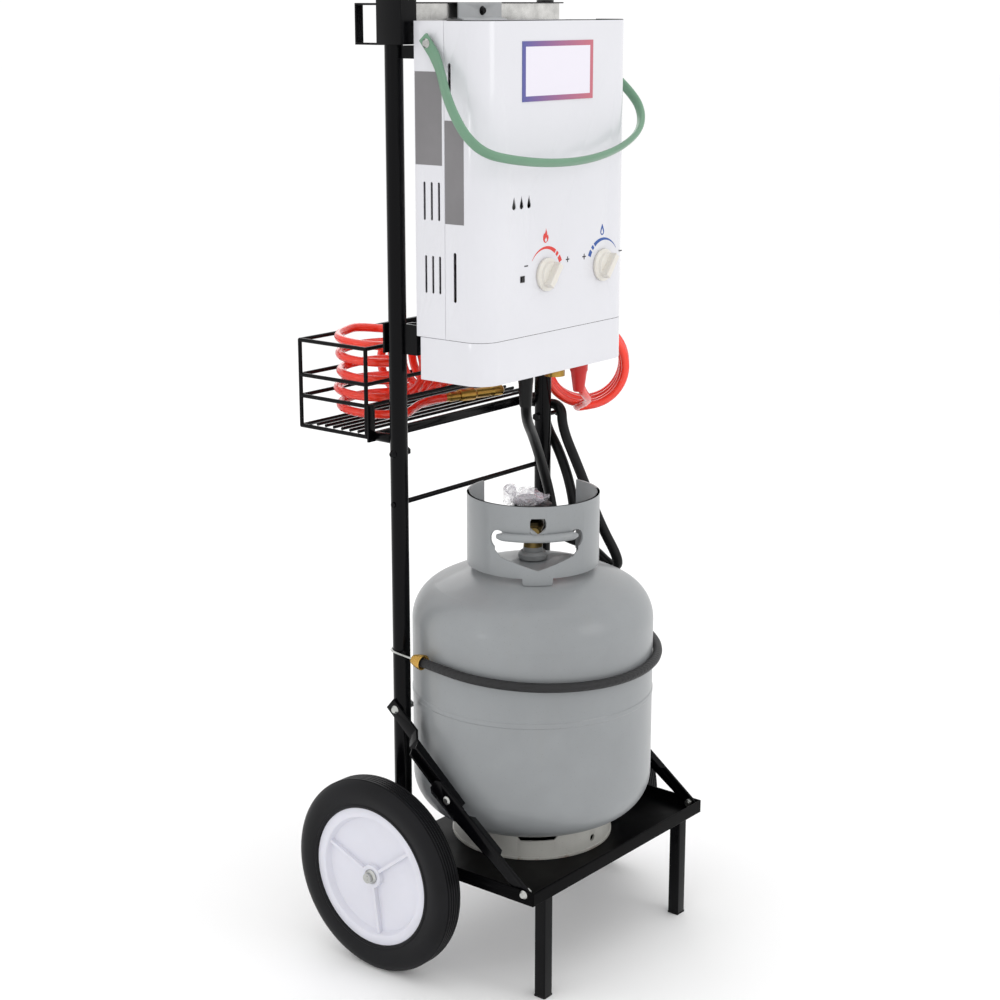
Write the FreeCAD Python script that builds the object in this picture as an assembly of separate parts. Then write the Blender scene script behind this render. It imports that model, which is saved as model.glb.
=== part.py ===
import FreeCAD, Part
import math
import os

# Portable propane water heater on a two-wheeled cart, in millimetres.
# X points right, Y points back and Z points up. The pieces are drawn with Y = 0 in the
# middle of the two uprights, and the whole object is moved at the end so that its origin
# is under the middle of its outline, on the ground.

Vec = FreeCAD.Vector
AXIS_X = Vec(1, 0, 0)
AXIS_Y = Vec(0, 1, 0)
AXIS_Z = Vec(0, 0, 1)

# Clearances
weld_gap = 0.2          # between a curved seat and the piece that is fixed on it
free_gap = 0.3          # between pieces that move past each other
running_gap = 0.05      # radial play of a shaft in its bore
cover_gap = 0.5         # seam between two covers

# Uprights
tube_x = 145.1          # middle plane to the axis of an upright
tube_d = 22.2
tube_wall = 1.5
tube_foot_z = 104.0
joint_z = 670.0         # where the upper tube plugs on the lower one
tube_top_z = 1199.0
spigot_length = 45.0
cap_height = 3.0
tube_r = tube_d / 2
tube_bore = tube_r - tube_wall
tube_inner_x = tube_x - tube_r
tube_outer_x = tube_x + tube_r

# Small fasteners
bolt_r = 3.0
bolt_head_r = 5.6
bolt_head_h = 3.2
nut_r = 5.5
nut_h = 5.0
hole_play = 0.25

# Cross members
cross_rod_z = 595.0
cross_rod_r = 3.25
sheet = 3.0             # flat bars and brackets
top_bar_z0 = 1175.0
top_bar_height = 23.0
top_bar_depth = 10.0
top_bar_wall = 1.6
strip_thickness = 1.4
lower_bar_z0 = 784.0
lower_bar_height = 37.0
joint_bolt_drop = 11.0  # joint bolt below the joint
hose_peg = 20.0         # the right joint bolt stands out this far and carries the gas hose
hanger_t = 2.0
hanger_x0 = -54.5
hanger_length = 82.0
hanger_bolt_x = -9.5
standoff_width = 16.0
standoff_height = 15.0
clamp_height = 51.0     # the hose hanger's clamp
loop_width = 12.0
loop_t = 2.6
loop_back_y = 56.0
loop_height = 48.0

# Wheels and axle
wheel_r = 127.0
wheel_outer_x = 233.2
tyre_width = 38.0
rim_r = 90.5
rim_width = 30.0
rim_inset = 3.5
rim_wall = 4.0
web_recess = 8.0
web_thickness = 4.0
hub_r = 15.0
wheel_rib = 4.0
axle_r = 6.35
axle_z = wheel_r
axle_y = -(tube_r + axle_r + free_gap)
bush_wall = 2.6
nut_cap_r = 9.5
nut_cap_h = 4.0
tread_grooves = 3
groove_depth = 2.2
wheel_rest_turn = 172.0 # degrees, where the first rib stands

# Tray and legs
tray_half = 184.0
tray_front_y = -243.6
tray_z = 136.8
tray_t = 2.0
lip_height = 17.2
tray_side_back_y = -30.0
tongue_half = 127.0
tongue_back_y = 14.0
leg_x = 147.6
leg_y = -231.2
leg_side = 16.0
leg_wall = 1.5
foot_height = 2.5
foot_plug = 14.0
knuckle_x = 100.0       # the tray's two sleeves on the axle

# Braces
brace_a = (0.0, 326.4)          # upper pivot, y and z
brace_b = (-104.0, 237.5)       # toggle rivet
brace_c = (-228.0, 148.8)       # lower pivot on the tray lip
arm_width = 18.0
arm_bend = 46.0                 # distance from the upper pivot to the outward step
arm_offset = 9.6                # outward step of the arm
arm_flange = 9.0
link_width = 24.0
link_end_width = 15.0
link_flange = 8.0

# Cylinder
tank_y = -97.2
tank_r = 155.1
tank_wall = 3.0
tank_low_z = 227.0              # lower end of the straight wall
tank_high_z = 432.0             # upper end of the straight wall
tank_seam_z = 338.7
tank_seam = 0.8
knuckle_share = 0.34            # a domed end's small radius over tank_r, next to the wall
crown_share = 1.8               # and its large radius over tank_r, over the middle
foot_ring_r = 103.5
ring_t = 3.0
foot_ring_top_z = 172.0
collar_r = 84.4
collar_t = 3.0
collar_lift = 8.94              # the band's lower edge above the dome
collar_height = 92.0
collar_front = -48.0            # degrees from the front, towards the left
collar_half_angle = 133.0
collar_ear = 15.0
collar_ear_angle = 36.0
window_half_angle = 38.0
window_lift = 25.0              # the hand window above the band's lower edge
window_height = 29.0
window_dip = 15.0
eye_lift = 68.0
grip_r = 4.2
collar_tab_angle = 13.0
boss_r = 19.0
boss_height = 9.0
valve_lift = 38.0               # the valve's outlet above the dome
valve_reach = 30.0
regulator_reach = 56.0          # middle of the regulator beyond the valve's outlet
regulator_stub = 40.0

# Heater
heater_half = 146.1
heater_front_y = -136.3
heater_back_y = -32.3
heater_split_y = -78.0
heater_z0 = 756.0
heater_z1 = 1177.0
heater_seam_z = 808.5
heater_wall = 1.2
corner_r = 28.0
lower_back_y = -38.0
knob_z = 879.0
gas_knob_x = -26.5
water_knob_x = 89.0
knob_r = 20.0
knob_neck_r = 14.5
knob_depth = 17.0
spindle_r = 4.0
switch_x = -72.8
switch_z = 877.7
switch_size = 9.0
switch_travel = 3.0
gas_inlet = (-2.0, -86.0)
water_outlet = (112.0, -84.0)
water_inlet = (60.0, -84.0)
fitting_length = 20.0
thread_r = 13.2
drop_drop = 216.0               # the drop windows below the heater's top
drop_height = 16.0
knob_turn = 38.0
works_side = 41.0               # the works' distance from the casing at each side
works_front = 14.3
works_back = 17.7
exchanger_drop = 67.0           # the exchanger's top below the heater's top
exchanger_height = 50.0
chamber_height = 130.0
burner_height = 14.7
pipe_r = 6.0

# Bail
bail_pivot_y = -58.0
bail_pivot_z = 1152.0
bail_angle = 40.5               # from straight down, towards the front
bail_reach = 178.0
bail_t = 4.6
bail_width = 13.0
bail_half = 152.0
bail_bulge = 182.0
bail_pin_r = 2.5

# Badge and labels
badge_x0 = -74.8
badge_x1 = 63.1
badge_drop = 23.0               # the badge's upper edge below the heater's top
badge_height = 69.0
badge_t = 0.8
label_t = 0.3

# Basket
basket_x0 = -157.3              # the basket reaches further out on the right
basket_x1 = 187.0
basket_front_y = 42.5
basket_back_y = 154.7
basket_z0 = 675.2
basket_z1 = 785.4
basket_rail_z = (714.0, 741.0)
wire_r = 2.6
floor_wire_r = 2.0
floor_wires = 7
hook_x = 84.0
strap_width = 12.0

# Soft pieces
gas_hose_r = 6.8
red_hose_r = 5.5
elastic_r = 6.0
elastic_z = 403.0               # height of the hooks on the uprights
elastic_tilt = 3.3              # degrees that the strap drops towards the front
spring_turns = 6
spring_wire_r = 1.2
nozzle_r = 8.2
hose_sides = 6
hook_wire_r = 1.4
strap_free = 46.0               # length of hook between the spring and the upright
strap_gap = 0.8                 # between the strap and the cylinder
bunch_r = 54.0                  # red hose: the bunch beside the heater
bunch_pitch = 12.2
bunch_turns = 4.5
run_r = 41.0                    # the run along the basket
run_pitch = 21.0
run_turns = 7.0
stack_r = 44.0                  # the stack at the basket's left end
stack_pitch = 22.0
stack_turns = 4.5


def block(x0, x1, y0, y1, z0, z1):
    return Part.makeBox(x1 - x0, y1 - y0, z1 - z0, Vec(x0, y0, z0))


def rod(start, end, radius):
    line = end - start
    return Part.makeCylinder(radius, line.Length, start, line)


def pipe(start, end, outer, inner):
    return rod(start, end, outer).cut(rod(start, end, inner))


def prism(points, direction):
    return Part.Face(Part.makePolygon(points + [points[0]])).extrude(direction)


def revolved(profile, centre, axis, across):
    """Turn a closed outline of (radius, height) points about an axis."""
    points = [centre + across * r + axis * h for r, h in profile]
    face = Part.Face(Part.makePolygon(points + [points[0]]))
    return face.revolve(centre, axis, 360)


def mirrored(shape):
    return shape.mirror(Vec(0, 0, 0), AXIS_X)


def group(*shapes):
    return Part.makeCompound(list(shapes))


def both_sides(shape):
    return Part.makeCompound([shape, mirrored(shape)])


def cut_all(shape, tools):
    return shape.cut(Part.makeCompound(tools)) if tools else shape


def fuse_all(shapes):
    return shapes[0].fuse(shapes[1:]).removeSplitter()


def hexagon(centre, axis, across, radius, height):
    side = axis.cross(across)
    points = []
    for step in range(6):
        turn = math.radians(60 * step)
        points.append(centre + across * (radius * math.cos(turn)) + side * (radius * math.sin(turn)))
    return prism(points, axis * height)


def cross_bolt(head, nut, y, z):
    """A bolt along X: head is the seat of its head, nut the seat of its nut."""
    way = 1 if nut > head else -1
    start = Vec(head - way * bolt_head_h, y, z)
    shank = rod(Vec(head, y, z), Vec(nut + way * (nut_h + 1.5), y, z), bolt_r)
    cap = Part.makeCone(bolt_head_r * 0.6, bolt_head_r, bolt_head_h, start, AXIS_X * way)
    hexnut = hexagon(Vec(nut, y, z), AXIS_X * way, AXIS_Z, nut_r, nut_h)
    return fuse_all([shank, cap, hexnut])


def x_hole(x0, x1, y, z, radius):
    return rod(Vec(x0, y, z), Vec(x1, y, z), radius)


# Uprights and cross members

def lower_uprights():
    tube = pipe(Vec(tube_x, 0, tube_foot_z), Vec(tube_x, 0, joint_z), tube_r, tube_bore)
    span = (tube_inner_x - 1, tube_outer_x + 1)
    holes = [x_hole(*span, 0, z, bolt_r + hole_play) for z in (joint_bolt_z, brace_a[1], axle_bolt_z)]
    holes.append(x_hole(*span, 0, cross_rod_z, cross_rod_r + hole_play))
    return both_sides(cut_all(tube, holes))


def back_hole(x, z):
    """A bolt hole in the rear wall of an upright."""
    return rod(Vec(x, 0, z), Vec(x, tube_r + 1, z), bolt_r + hole_play)


def upper_uprights():
    plug = tube_bore - running_gap * 3
    bore = plug - tube_wall
    profile = [(bore, -spigot_length), (plug, -spigot_length), (plug, 0), (tube_r, 0),
               (tube_r, tube_top_z - joint_z), (tube_bore, tube_top_z - joint_z),
               (tube_bore, tube_wall * 2), (bore, tube_wall)]
    tube = revolved(profile, Vec(tube_x, 0, joint_z), AXIS_Z, AXIS_X)
    hole = x_hole(tube_inner_x - 1, tube_outer_x + 1, 0, joint_bolt_z, bolt_r + hole_play)
    right = cut_all(tube, [hole, back_hole(tube_x, basket_z0), back_hole(tube_x, lower_bolt_z)])
    left = mirrored(right).cut(back_hole(-tube_x, clamp_bolt_z))
    return group(right, left)


def tube_caps():
    base = Vec(tube_x, 0, tube_top_z)
    plug = tube_bore - weld_gap
    profile = [(0, -12), (plug, -12), (plug, 0), (tube_r, 0), (tube_r, cap_height * 0.5),
               (tube_r - 3, cap_height), (0, cap_height)]
    return both_sides(revolved(profile, base, AXIS_Z, AXIS_X))


def joint_bolts():
    left = cross_bolt(-tube_outer_x, -tube_inner_x, 0, joint_bolt_z)
    peg_end = tube_outer_x + hose_peg
    right = fuse_all([rod(Vec(tube_inner_x - nut_h, 0, joint_bolt_z), Vec(peg_end, 0, joint_bolt_z), bolt_r),
                      hexagon(Vec(tube_inner_x, 0, joint_bolt_z), -AXIS_X, AXIS_Z, nut_r, nut_h),
                      rod(Vec(peg_end, 0, joint_bolt_z), Vec(peg_end + 2, 0, joint_bolt_z), bolt_head_r)])
    return Part.makeCompound([left, right])


def cross_rod():
    reach = tube_outer_x + 2
    return rod(Vec(-reach, 0, cross_rod_z), Vec(reach, 0, cross_rod_z), cross_rod_r)


def top_bar_channel():
    back = -tube_r - weld_gap
    outline = [Vec(-tube_outer_x, back, top_bar_z0), Vec(-tube_outer_x, back - top_bar_depth, top_bar_z0),
               Vec(-tube_outer_x, back - top_bar_depth, top_bar_z0 + top_bar_wall),
               Vec(-tube_outer_x, back - top_bar_wall, top_bar_z0 + top_bar_wall),
               Vec(-tube_outer_x, back - top_bar_wall, top_bar_z1 - top_bar_wall),
               Vec(-tube_outer_x, back - top_bar_depth, top_bar_z1 - top_bar_wall),
               Vec(-tube_outer_x, back - top_bar_depth, top_bar_z1), Vec(-tube_outer_x, back, top_bar_z1)]
    return prism(outline, AXIS_X * (2 * tube_outer_x))


def top_bar_strip():
    back = -tube_r - weld_gap - top_bar_wall
    return block(-tube_inner_x + sheet + 1, tube_outer_x, back - strip_thickness, back,
                 top_bar_z0 + top_bar_wall, top_bar_z1 - top_bar_wall)


def hanger_plate():
    """A bent plate that hangs the heater's back on the top bar."""
    bar_front = -tube_r - weld_gap - top_bar_depth
    casing = heater_back_y
    low = heater_z1 - 40
    knee = heater_z1 + 2
    top = top_bar_z1
    outline = [Vec(hanger_x0, casing, low), Vec(hanger_x0, casing + hanger_t, low),
               Vec(hanger_x0, casing + hanger_t, knee - hanger_t), Vec(hanger_x0, bar_front, knee),
               Vec(hanger_x0, bar_front, top), Vec(hanger_x0, bar_front - hanger_t, top),
               Vec(hanger_x0, bar_front - hanger_t, knee + 1.2), Vec(hanger_x0, casing, knee - 1)]
    plate = prism(outline, AXIS_X * hanger_length)
    return plate.cut(rod(Vec(hanger_bolt_x, casing - 4, hanger_bolt_z),
                         Vec(hanger_bolt_x, 0, hanger_bolt_z), bolt_r + hole_play))


def hanger_bolt():
    seat = -tube_r - weld_gap - top_bar_depth - hanger_t
    strip_back = -tube_r - weld_gap - top_bar_wall - strip_thickness
    shank = rod(Vec(hanger_bolt_x, strip_back, hanger_bolt_z),
                Vec(hanger_bolt_x, seat, hanger_bolt_z), bolt_r)
    head = Part.makeCone(bolt_head_r, bolt_head_r * 0.6, bolt_head_h,
                         Vec(hanger_bolt_x, seat, hanger_bolt_z), -AXIS_Y)
    return shank.fuse(head)


def lower_crossbar():
    front = tube_r + weld_gap
    bar = block(-tube_outer_x, tube_outer_x, front, front + sheet,
                lower_bar_z0, lower_bar_z0 + lower_bar_height)
    holes = [rod(Vec(side * tube_x, front - 1, lower_bolt_z),
                 Vec(side * tube_x, front + sheet + 1, lower_bolt_z), bolt_r + hole_play)
             for side in (-1, 1)]
    return cut_all(bar, holes)


def crossbar_bolts():
    back = tube_r + weld_gap + sheet
    bolts = []
    for side in (-1, 1):
        shank = rod(Vec(side * tube_x, tube_bore, lower_bolt_z),
                    Vec(side * tube_x, back, lower_bolt_z), bolt_r)
        head = hexagon(Vec(side * tube_x, back, lower_bolt_z), AXIS_Y, AXIS_Z, nut_r, bolt_head_h)
        bolts.append(shank.fuse(head))
    return Part.makeCompound(bolts)


def heater_standoffs():
    """Short channels that hold the heater's back off the uprights, two high and two low."""
    pieces = []
    back = -tube_r - weld_gap
    for z0, height in ((clamp_z0 - standoff_height - 1.0, standoff_height), (lower_bar_z0, lower_bar_height)):
        body = block(standoff_x0, standoff_x0 + standoff_width, heater_back_y + weld_gap, back,
                     z0, z0 + height)
        inner = block(standoff_x0 + 2, standoff_x0 + standoff_width - 2, heater_back_y + 2.5, back - 2.5,
                      z0 - 1, z0 + height + 1)
        channel = body.cut(inner)
        pieces += [channel, mirrored(channel)]
    return Part.makeCompound(pieces)


def hose_hanger():
    """A clamp round the left upright with a square loop of strip behind it."""
    front = -tube_r - weld_gap - top_bar_depth - weld_gap
    back = tube_r + weld_gap
    reach = tube_r + weld_gap
    body = block(-tube_x - reach - sheet, -tube_x + reach + sheet, front - sheet, back + sheet,
                 clamp_z0, clamp_z1)
    hollow = block(-tube_x - reach, -tube_x + reach, front, back, clamp_z0 - 1, clamp_z1 + 1)
    bar = block(-tube_x, 0, front, -tube_r, top_bar_z0 - weld_gap, top_bar_z1 + weld_gap)
    clamp = cut_all(body, [hollow, bar])
    edges = [edge for edge in clamp.Edges if edge.Length > clamp_z1 - clamp_z0 - 1
             and edge.BoundBox.YMin < front - sheet / 2]
    clamp = clamp.makeFillet(2.0, edges)
    loop = block(loop_x0, loop_x0 + loop_width, back + sheet - 0.5, loop_back_y, loop_z0, loop_z1)
    gap = block(loop_x0 - 1, loop_x0 + loop_width + 1, back + sheet, loop_back_y - loop_t,
                loop_z0 + loop_t, loop_z1 - loop_t)
    hole = rod(Vec(-tube_x, 0, clamp_bolt_z), Vec(-tube_x, back + sheet + 1, clamp_bolt_z),
               bolt_r + hole_play)
    return fuse_all([clamp, loop.cut(gap)]).cut(hole)


def hanger_clamp_bolt():
    back = tube_r + weld_gap + sheet
    shank = rod(Vec(-tube_x, tube_bore, clamp_bolt_z), Vec(-tube_x, back, clamp_bolt_z), bolt_r)
    return shank.fuse(hexagon(Vec(-tube_x, back, clamp_bolt_z), AXIS_Y, AXIS_Z, nut_r, nut_h))


# Axle and wheels

def axle():
    reach = wheel_outer_x + nut_cap_h - 0.5
    return rod(Vec(-reach, axle_y, axle_z), Vec(reach, axle_y, axle_z), axle_r)


def axle_plate(x0, x1):
    plate = block(x0, x1, axle_y - 11, tube_r, tube_foot_z + 3, axle_bolt_z + 12)
    holes = [x_hole(x0 - 1, x1 + 1, axle_y, axle_z, axle_r + hole_play),
             x_hole(x0 - 1, x1 + 1, 0, axle_bolt_z, bolt_r + hole_play)]
    return cut_all(plate, holes)


def axle_brackets():
    inner = axle_plate(tube_inner_x - weld_gap - sheet, tube_inner_x - weld_gap)
    outer = axle_plate(tube_outer_x + weld_gap, tube_outer_x + weld_gap + sheet)
    return Part.makeCompound([inner, outer, mirrored(inner), mirrored(outer)])


def axle_bolts():
    bolt = cross_bolt(tube_outer_x + weld_gap + sheet, tube_inner_x - weld_gap - sheet, 0, axle_bolt_z)
    return both_sides(bolt)


def axle_spacers():
    start = Vec(tube_outer_x + weld_gap + sheet, axle_y, axle_z)
    end = Vec(hub_back_x - free_gap, axle_y, axle_z)
    return both_sides(pipe(start, end, axle_r + 3.2, axle_r + hole_play))


def axle_caps():
    """Push-on caps that keep the wheels on the axle."""
    seat = hub_front_x + free_gap
    profile = [(axle_r + running_gap, 0), (nut_cap_r, 0), (nut_cap_r, 1.2), (nut_cap_r - 2, nut_cap_h),
               (axle_r + running_gap, nut_cap_h)]
    return both_sides(revolved(profile, Vec(seat, axle_y, axle_z), AXIS_X, AXIS_Z))


def wheel_disc():
    """A moulded disc: rim, sunk web, hub and three ribs on each face."""
    front = wheel_outer_x - rim_inset
    back = front - rim_width
    middle = front - web_recess
    inner_rim = rim_r - rim_wall - 12
    bore = bush_r + running_gap
    profile = [(bore, hub_back_x), (hub_r, hub_back_x), (hub_r, middle - web_thickness),
               (inner_rim, middle - web_thickness), (inner_rim + 3, back), (rim_r, back), (rim_r, front),
               (inner_rim + 4, front), (inner_rim, middle), (hub_r, middle), (hub_r, hub_front_x),
               (bore, hub_front_x)]
    disc = revolved(profile, Vec(0, axle_y, axle_z), AXIS_X, AXIS_Z)
    ribs = []
    for step in range(3):
        rib = block(middle - 1, front - 2, -wheel_rib / 2, wheel_rib / 2, hub_r - 2, inner_rim + 2)
        rib.rotate(Vec(0, 0, 0), AXIS_X, 120 * step + wheel_rest_turn)
        rib.translate(Vec(0, axle_y, axle_z))
        ribs.append(rib)
    return fuse_all([disc] + ribs)


def wheel_tyre():
    """A solid rubber tyre with rounded shoulders and four grooves round its tread."""
    front = wheel_outer_x
    back = front - tyre_width
    seat = rim_r + running_gap
    shoulder = 11.0
    bead = 3.0
    profile = [(seat, front - bead), (seat + 4, front - 1), (rim_r + 20, front),
               (wheel_r - shoulder, front - 1.5), (wheel_r - 3, front - 7)]
    land = (tyre_width - 14) / (2 * tread_grooves + 1)
    for groove in range(tread_grooves):
        start = front - 7 - land * (2 * groove + 1)
        profile += [(wheel_r, start), (wheel_r - groove_depth, start - land * 0.2),
                    (wheel_r - groove_depth, start - land * 0.8), (wheel_r, start - land)]
    profile += [(wheel_r - 3, back + 7), (wheel_r - shoulder, back + 1.5), (rim_r + 20, back),
                (seat + 4, back + 1), (seat, back + bead)]
    return revolved(profile, Vec(0, axle_y, axle_z), AXIS_X, AXIS_Z)


def wheel_bush():
    """The bearing sleeve pressed in the hub, running on the axle."""
    bore = axle_r + running_gap
    profile = [(bore, hub_back_x), (bush_r, hub_back_x), (bush_r, hub_front_x), (bore, hub_front_x)]
    return revolved(profile, Vec(0, axle_y, axle_z), AXIS_X, AXIS_Z)


# Tray, legs and braces

def tray():
    lip_top = tray_z + lip_height
    floor = block(-tray_half, tray_half, tray_front_y, tray_side_back_y, tray_z, tray_z + tray_t)
    tongue = block(-tongue_half, tongue_half, tray_side_back_y - 5, tongue_back_y, tray_z, tray_z + tray_t)
    front = block(-tray_half, tray_half, tray_front_y, tray_front_y + tray_t, tray_z, lip_top)
    left = block(-tray_half, -tray_half + tray_t, tray_front_y, tray_side_back_y, tray_z, lip_top)
    rear = block(-tongue_half, tongue_half, tongue_back_y - tray_t, tongue_back_y, tray_z - 8, tray_z + 1)
    knuckles = []
    for side in (-1, 1):
        ring = pipe(Vec(side * knuckle_x - 9, axle_y, axle_z), Vec(side * knuckle_x + 9, axle_y, axle_z),
                    axle_r + 2.4, axle_r + hole_play)
        neck = block(side * knuckle_x - 9, side * knuckle_x + 9, axle_y - 4, axle_y + 4,
                     axle_z + axle_r + 1, tray_z + 0.5)
        knuckles += [ring, neck]
    body = fuse_all([floor, tongue, front, left, mirrored(left), rear] + knuckles)
    corners = [edge for edge in body.Edges if abs(edge.BoundBox.XMin) > tray_half - 0.1
               and abs(edge.BoundBox.XMax) > tray_half - 0.1 and edge.BoundBox.YMax < tray_front_y + 0.1]
    body = body.makeFillet(1.5, corners)
    holes = [x_hole(side * (tray_half - tray_t - 1), side * (tray_half + 1), brace_c[0], brace_c[1],
                    bolt_r + hole_play) for side in (-1, 1)]
    return cut_all(body, holes)


def legs():
    half = leg_side / 2
    outer = block(leg_x - half, leg_x + half, leg_y - half, leg_y + half, foot_height, tray_z)
    inner = block(leg_x - half + leg_wall, leg_x + half - leg_wall, leg_y - half + leg_wall,
                  leg_y + half - leg_wall, foot_height - 1, tray_z - leg_wall)
    edges = [edge for edge in outer.Edges if edge.Length > tray_z - foot_height - 1]
    return both_sides(outer.makeFillet(1.5, edges).cut(inner))


def leg_feet():
    half = leg_side / 2
    plug = half - leg_wall - weld_gap
    pad = block(leg_x - half, leg_x + half, leg_y - half, leg_y + half, 0, foot_height)
    stem = block(leg_x - plug, leg_x + plug, leg_y - plug, leg_y + plug, foot_height - 1, foot_plug)
    return both_sides(fuse_all([pad, stem]))


def brace_frame(start, end):
    """Unit vectors along a link and across it, both in the plane of the brace."""
    along = Vec(0, end[0] - start[0], end[1] - start[1])
    along.normalize()
    return along, along.cross(AXIS_X)


def strip_plate(start, along, across, s0, s1, half0, half1, x0, x1):
    """A flat link from s0 to s1 along its line, with rounded corners at both ends."""
    centre = Vec(x0, start[0], start[1])
    half_outline = [(s0, half0 * 0.55), (s0 + half0 * 0.5, half0),
                    (s1 - half1 * 0.5, half1), (s1, half1 * 0.55)]
    outline = half_outline + [(s, -h) for s, h in reversed(half_outline)]
    return prism([centre + along * s + across * h for s, h in outline], Vec(x1 - x0, 0, 0))


def brace_arm():
    """The upper link: flat at the upright, a step outwards, then a channel to the toggle rivet."""
    along, across = brace_frame(brace_a, brace_b)
    half = arm_width / 2
    reach = math.hypot(brace_b[0] - brace_a[0], brace_b[1] - brace_a[1])
    centre = Vec(0, brace_a[0], brace_a[1])
    x0 = arm_x0
    x1 = arm_x0 + arm_offset
    flat = [(-11, x0), (arm_bend - 6, x0), (arm_bend + 6, x1), (reach + 16, x1),
            (reach + 16, x1 + sheet), (arm_bend + 4.6, x1 + sheet), (arm_bend - 7.4, x0 + sheet),
            (-11, x0 + sheet)]
    outline = [centre + along * s + AXIS_X * x - across * half for s, x in flat]
    body = prism(outline, across * arm_width)
    walls = []
    for side in (-1, 1):
        base = centre + along * (arm_bend + 8) + AXIS_X * (x1 + sheet - 0.5)
        edge = half - sheet / 2
        low = base + across * (side * edge - sheet / 2)
        far = low + along * (reach + 8 - arm_bend)
        corner = [low, far, far + AXIS_X * arm_flange, low + along * 6 + AXIS_X * arm_flange]
        walls.append(prism(corner, across * sheet))
    body = fuse_all([body] + walls)
    holes = [x_hole(x0 - 2, x1 + sheet + 2, y, z, bolt_r + hole_play) for y, z in (brace_a, brace_b)]
    return cut_all(body, holes)


def brace_link():
    """The lower link: wide at the toggle, with a folded edge, narrow at the tray."""
    along, across = brace_frame(brace_b, brace_c)
    reach = math.hypot(brace_c[0] - brace_b[0], brace_c[1] - brace_b[1])
    top = strip_plate(brace_b, along, across, -28, 30, link_width / 2, link_width / 2,
                      link_x0, link_x0 + sheet)
    rest = strip_plate(brace_b, along, across, 12, reach + 9, link_width / 2 - 1, link_end_width / 2,
                       link_x0, link_x0 + sheet)
    start = Vec(link_x0 + 0.5, brace_b[0], brace_b[1])
    edge = start + along * 34 + across * (link_width / 2 - 4)
    slope = along - across * 0.03
    length = reach * 0.42
    fold = prism([edge, edge + slope * length, edge + slope * (length - 5) - AXIS_X * link_flange,
                  edge + slope * 6 - AXIS_X * link_flange], across * 2.5)
    body = fuse_all([top, rest, fold])
    holes = [x_hole(link_x0 - 1, link_x0 + sheet + 1, y, z, bolt_r + hole_play)
             for y, z in (brace_b, brace_c)]
    return cut_all(body, holes)


def brace_pivots():
    upper = cross_bolt(arm_x0 + sheet, tube_inner_x, brace_a[0], brace_a[1])
    lower = cross_bolt(tray_half, link_x0, brace_c[0], brace_c[1])
    return Part.makeCompound([upper, mirrored(upper), lower, mirrored(lower)])


def toggle_rivets():
    web = arm_x0 + arm_offset
    face = link_x0 + sheet
    y, z = brace_b
    head = 5.5
    rivet = fuse_all([rod(Vec(web, y, z), Vec(face, y, z), bolt_r),
                      Part.makeCone(head - 2, head, 2, Vec(web - 2, y, z), AXIS_X),
                      Part.makeCone(head, head - 2, 2, Vec(face, y, z), AXIS_X)])
    return both_sides(rivet)


# Propane cylinder

def dome_height(radius):
    """Height of a domed end's outside above the straight wall, at a radius."""
    knuckle_x = tank_r - knuckle_r
    rise = math.sqrt((crown_r - knuckle_r) ** 2 - knuckle_x ** 2)
    if radius < knuckle_x * crown_r / (crown_r - knuckle_r):
        return math.sqrt(crown_r ** 2 - radius ** 2) - rise
    return math.sqrt(knuckle_r ** 2 - (radius - knuckle_x) ** 2)


def dome_edges(grow, z0, sign, r_end):
    """A knuckle arc and a crown arc, from the straight wall to radius r_end, moved out by grow."""
    knuckle_x = tank_r - knuckle_r
    rise = math.sqrt((crown_r - knuckle_r) ** 2 - knuckle_x ** 2)
    bend = math.atan2(rise, knuckle_x)
    knuckle = knuckle_r + grow
    crown = crown_r + grow
    last = math.acos(r_end / crown)

    def on_knuckle(turn):
        return Vec(knuckle_x + knuckle * math.cos(turn), tank_y, z0 + sign * knuckle * math.sin(turn))

    def on_crown(turn):
        return Vec(crown * math.cos(turn), tank_y, z0 + sign * (crown * math.sin(turn) - rise))

    edges = [Part.Arc(on_knuckle(0), on_knuckle(bend / 2), on_knuckle(bend)).toShape(),
             Part.Arc(on_knuckle(bend), on_crown((bend + last) / 2), on_crown(last)).toShape()]
    return edges, on_knuckle(0), on_crown(last)


def tank_shell():
    neck = boss_r - 6
    top_out, a0, a1 = dome_edges(0, tank_high_z, 1, neck)
    low_out, c0, c1 = dome_edges(0, tank_low_z, -1, 0.0)
    seam = [Vec(tank_r, tank_y, tank_seam_z + 4), Vec(tank_r + tank_seam, tank_y, tank_seam_z + 2.5),
            Vec(tank_r + tank_seam, tank_y, tank_seam_z - 2.5), Vec(tank_r, tank_y, tank_seam_z - 4)]
    inner_r = tank_r - tank_wall
    height = dome_height(0) - tank_wall
    low_end = [(0, 1.0), (0.55, 0.86), (0.9, 0.5), (1.0, 0)]
    inside = [Vec(inner_r * r, tank_y, tank_low_z - height * h) for r, h in low_end]
    inside += [Vec(inner_r * r, tank_y, tank_high_z + height * h) for r, h in reversed(low_end[1:])]
    inside.append(Vec(neck, tank_y, tank_high_z + height))
    straight = [a0] + seam + [c0]
    lines = list(zip(straight, straight[1:]))
    ends = [c1] + inside + [a1]
    lines += list(zip(ends, ends[1:]))
    edges = top_out + low_out + [Part.LineSegment(p, q).toShape() for p, q in lines]
    face = Part.Face(Part.Wire(Part.__sortEdges__(edges)))
    return face.revolve(Vec(0, tank_y, 0), AXIS_Z, 360)


def ring_wall(radius, wall, z0, z1, start, end):
    """Part of a cylindrical wall between two angles, counted from the front towards the right."""
    solid = Part.makeCylinder(radius, z1 - z0, Vec(0, tank_y, z0), AXIS_Z, end - start)
    core = Part.makeCylinder(radius - wall, z1 - z0, Vec(0, tank_y, z0), AXIS_Z, 360)
    solid.rotate(Vec(0, tank_y, 0), AXIS_Z, start - 90)
    return solid.cut(core)


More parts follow.
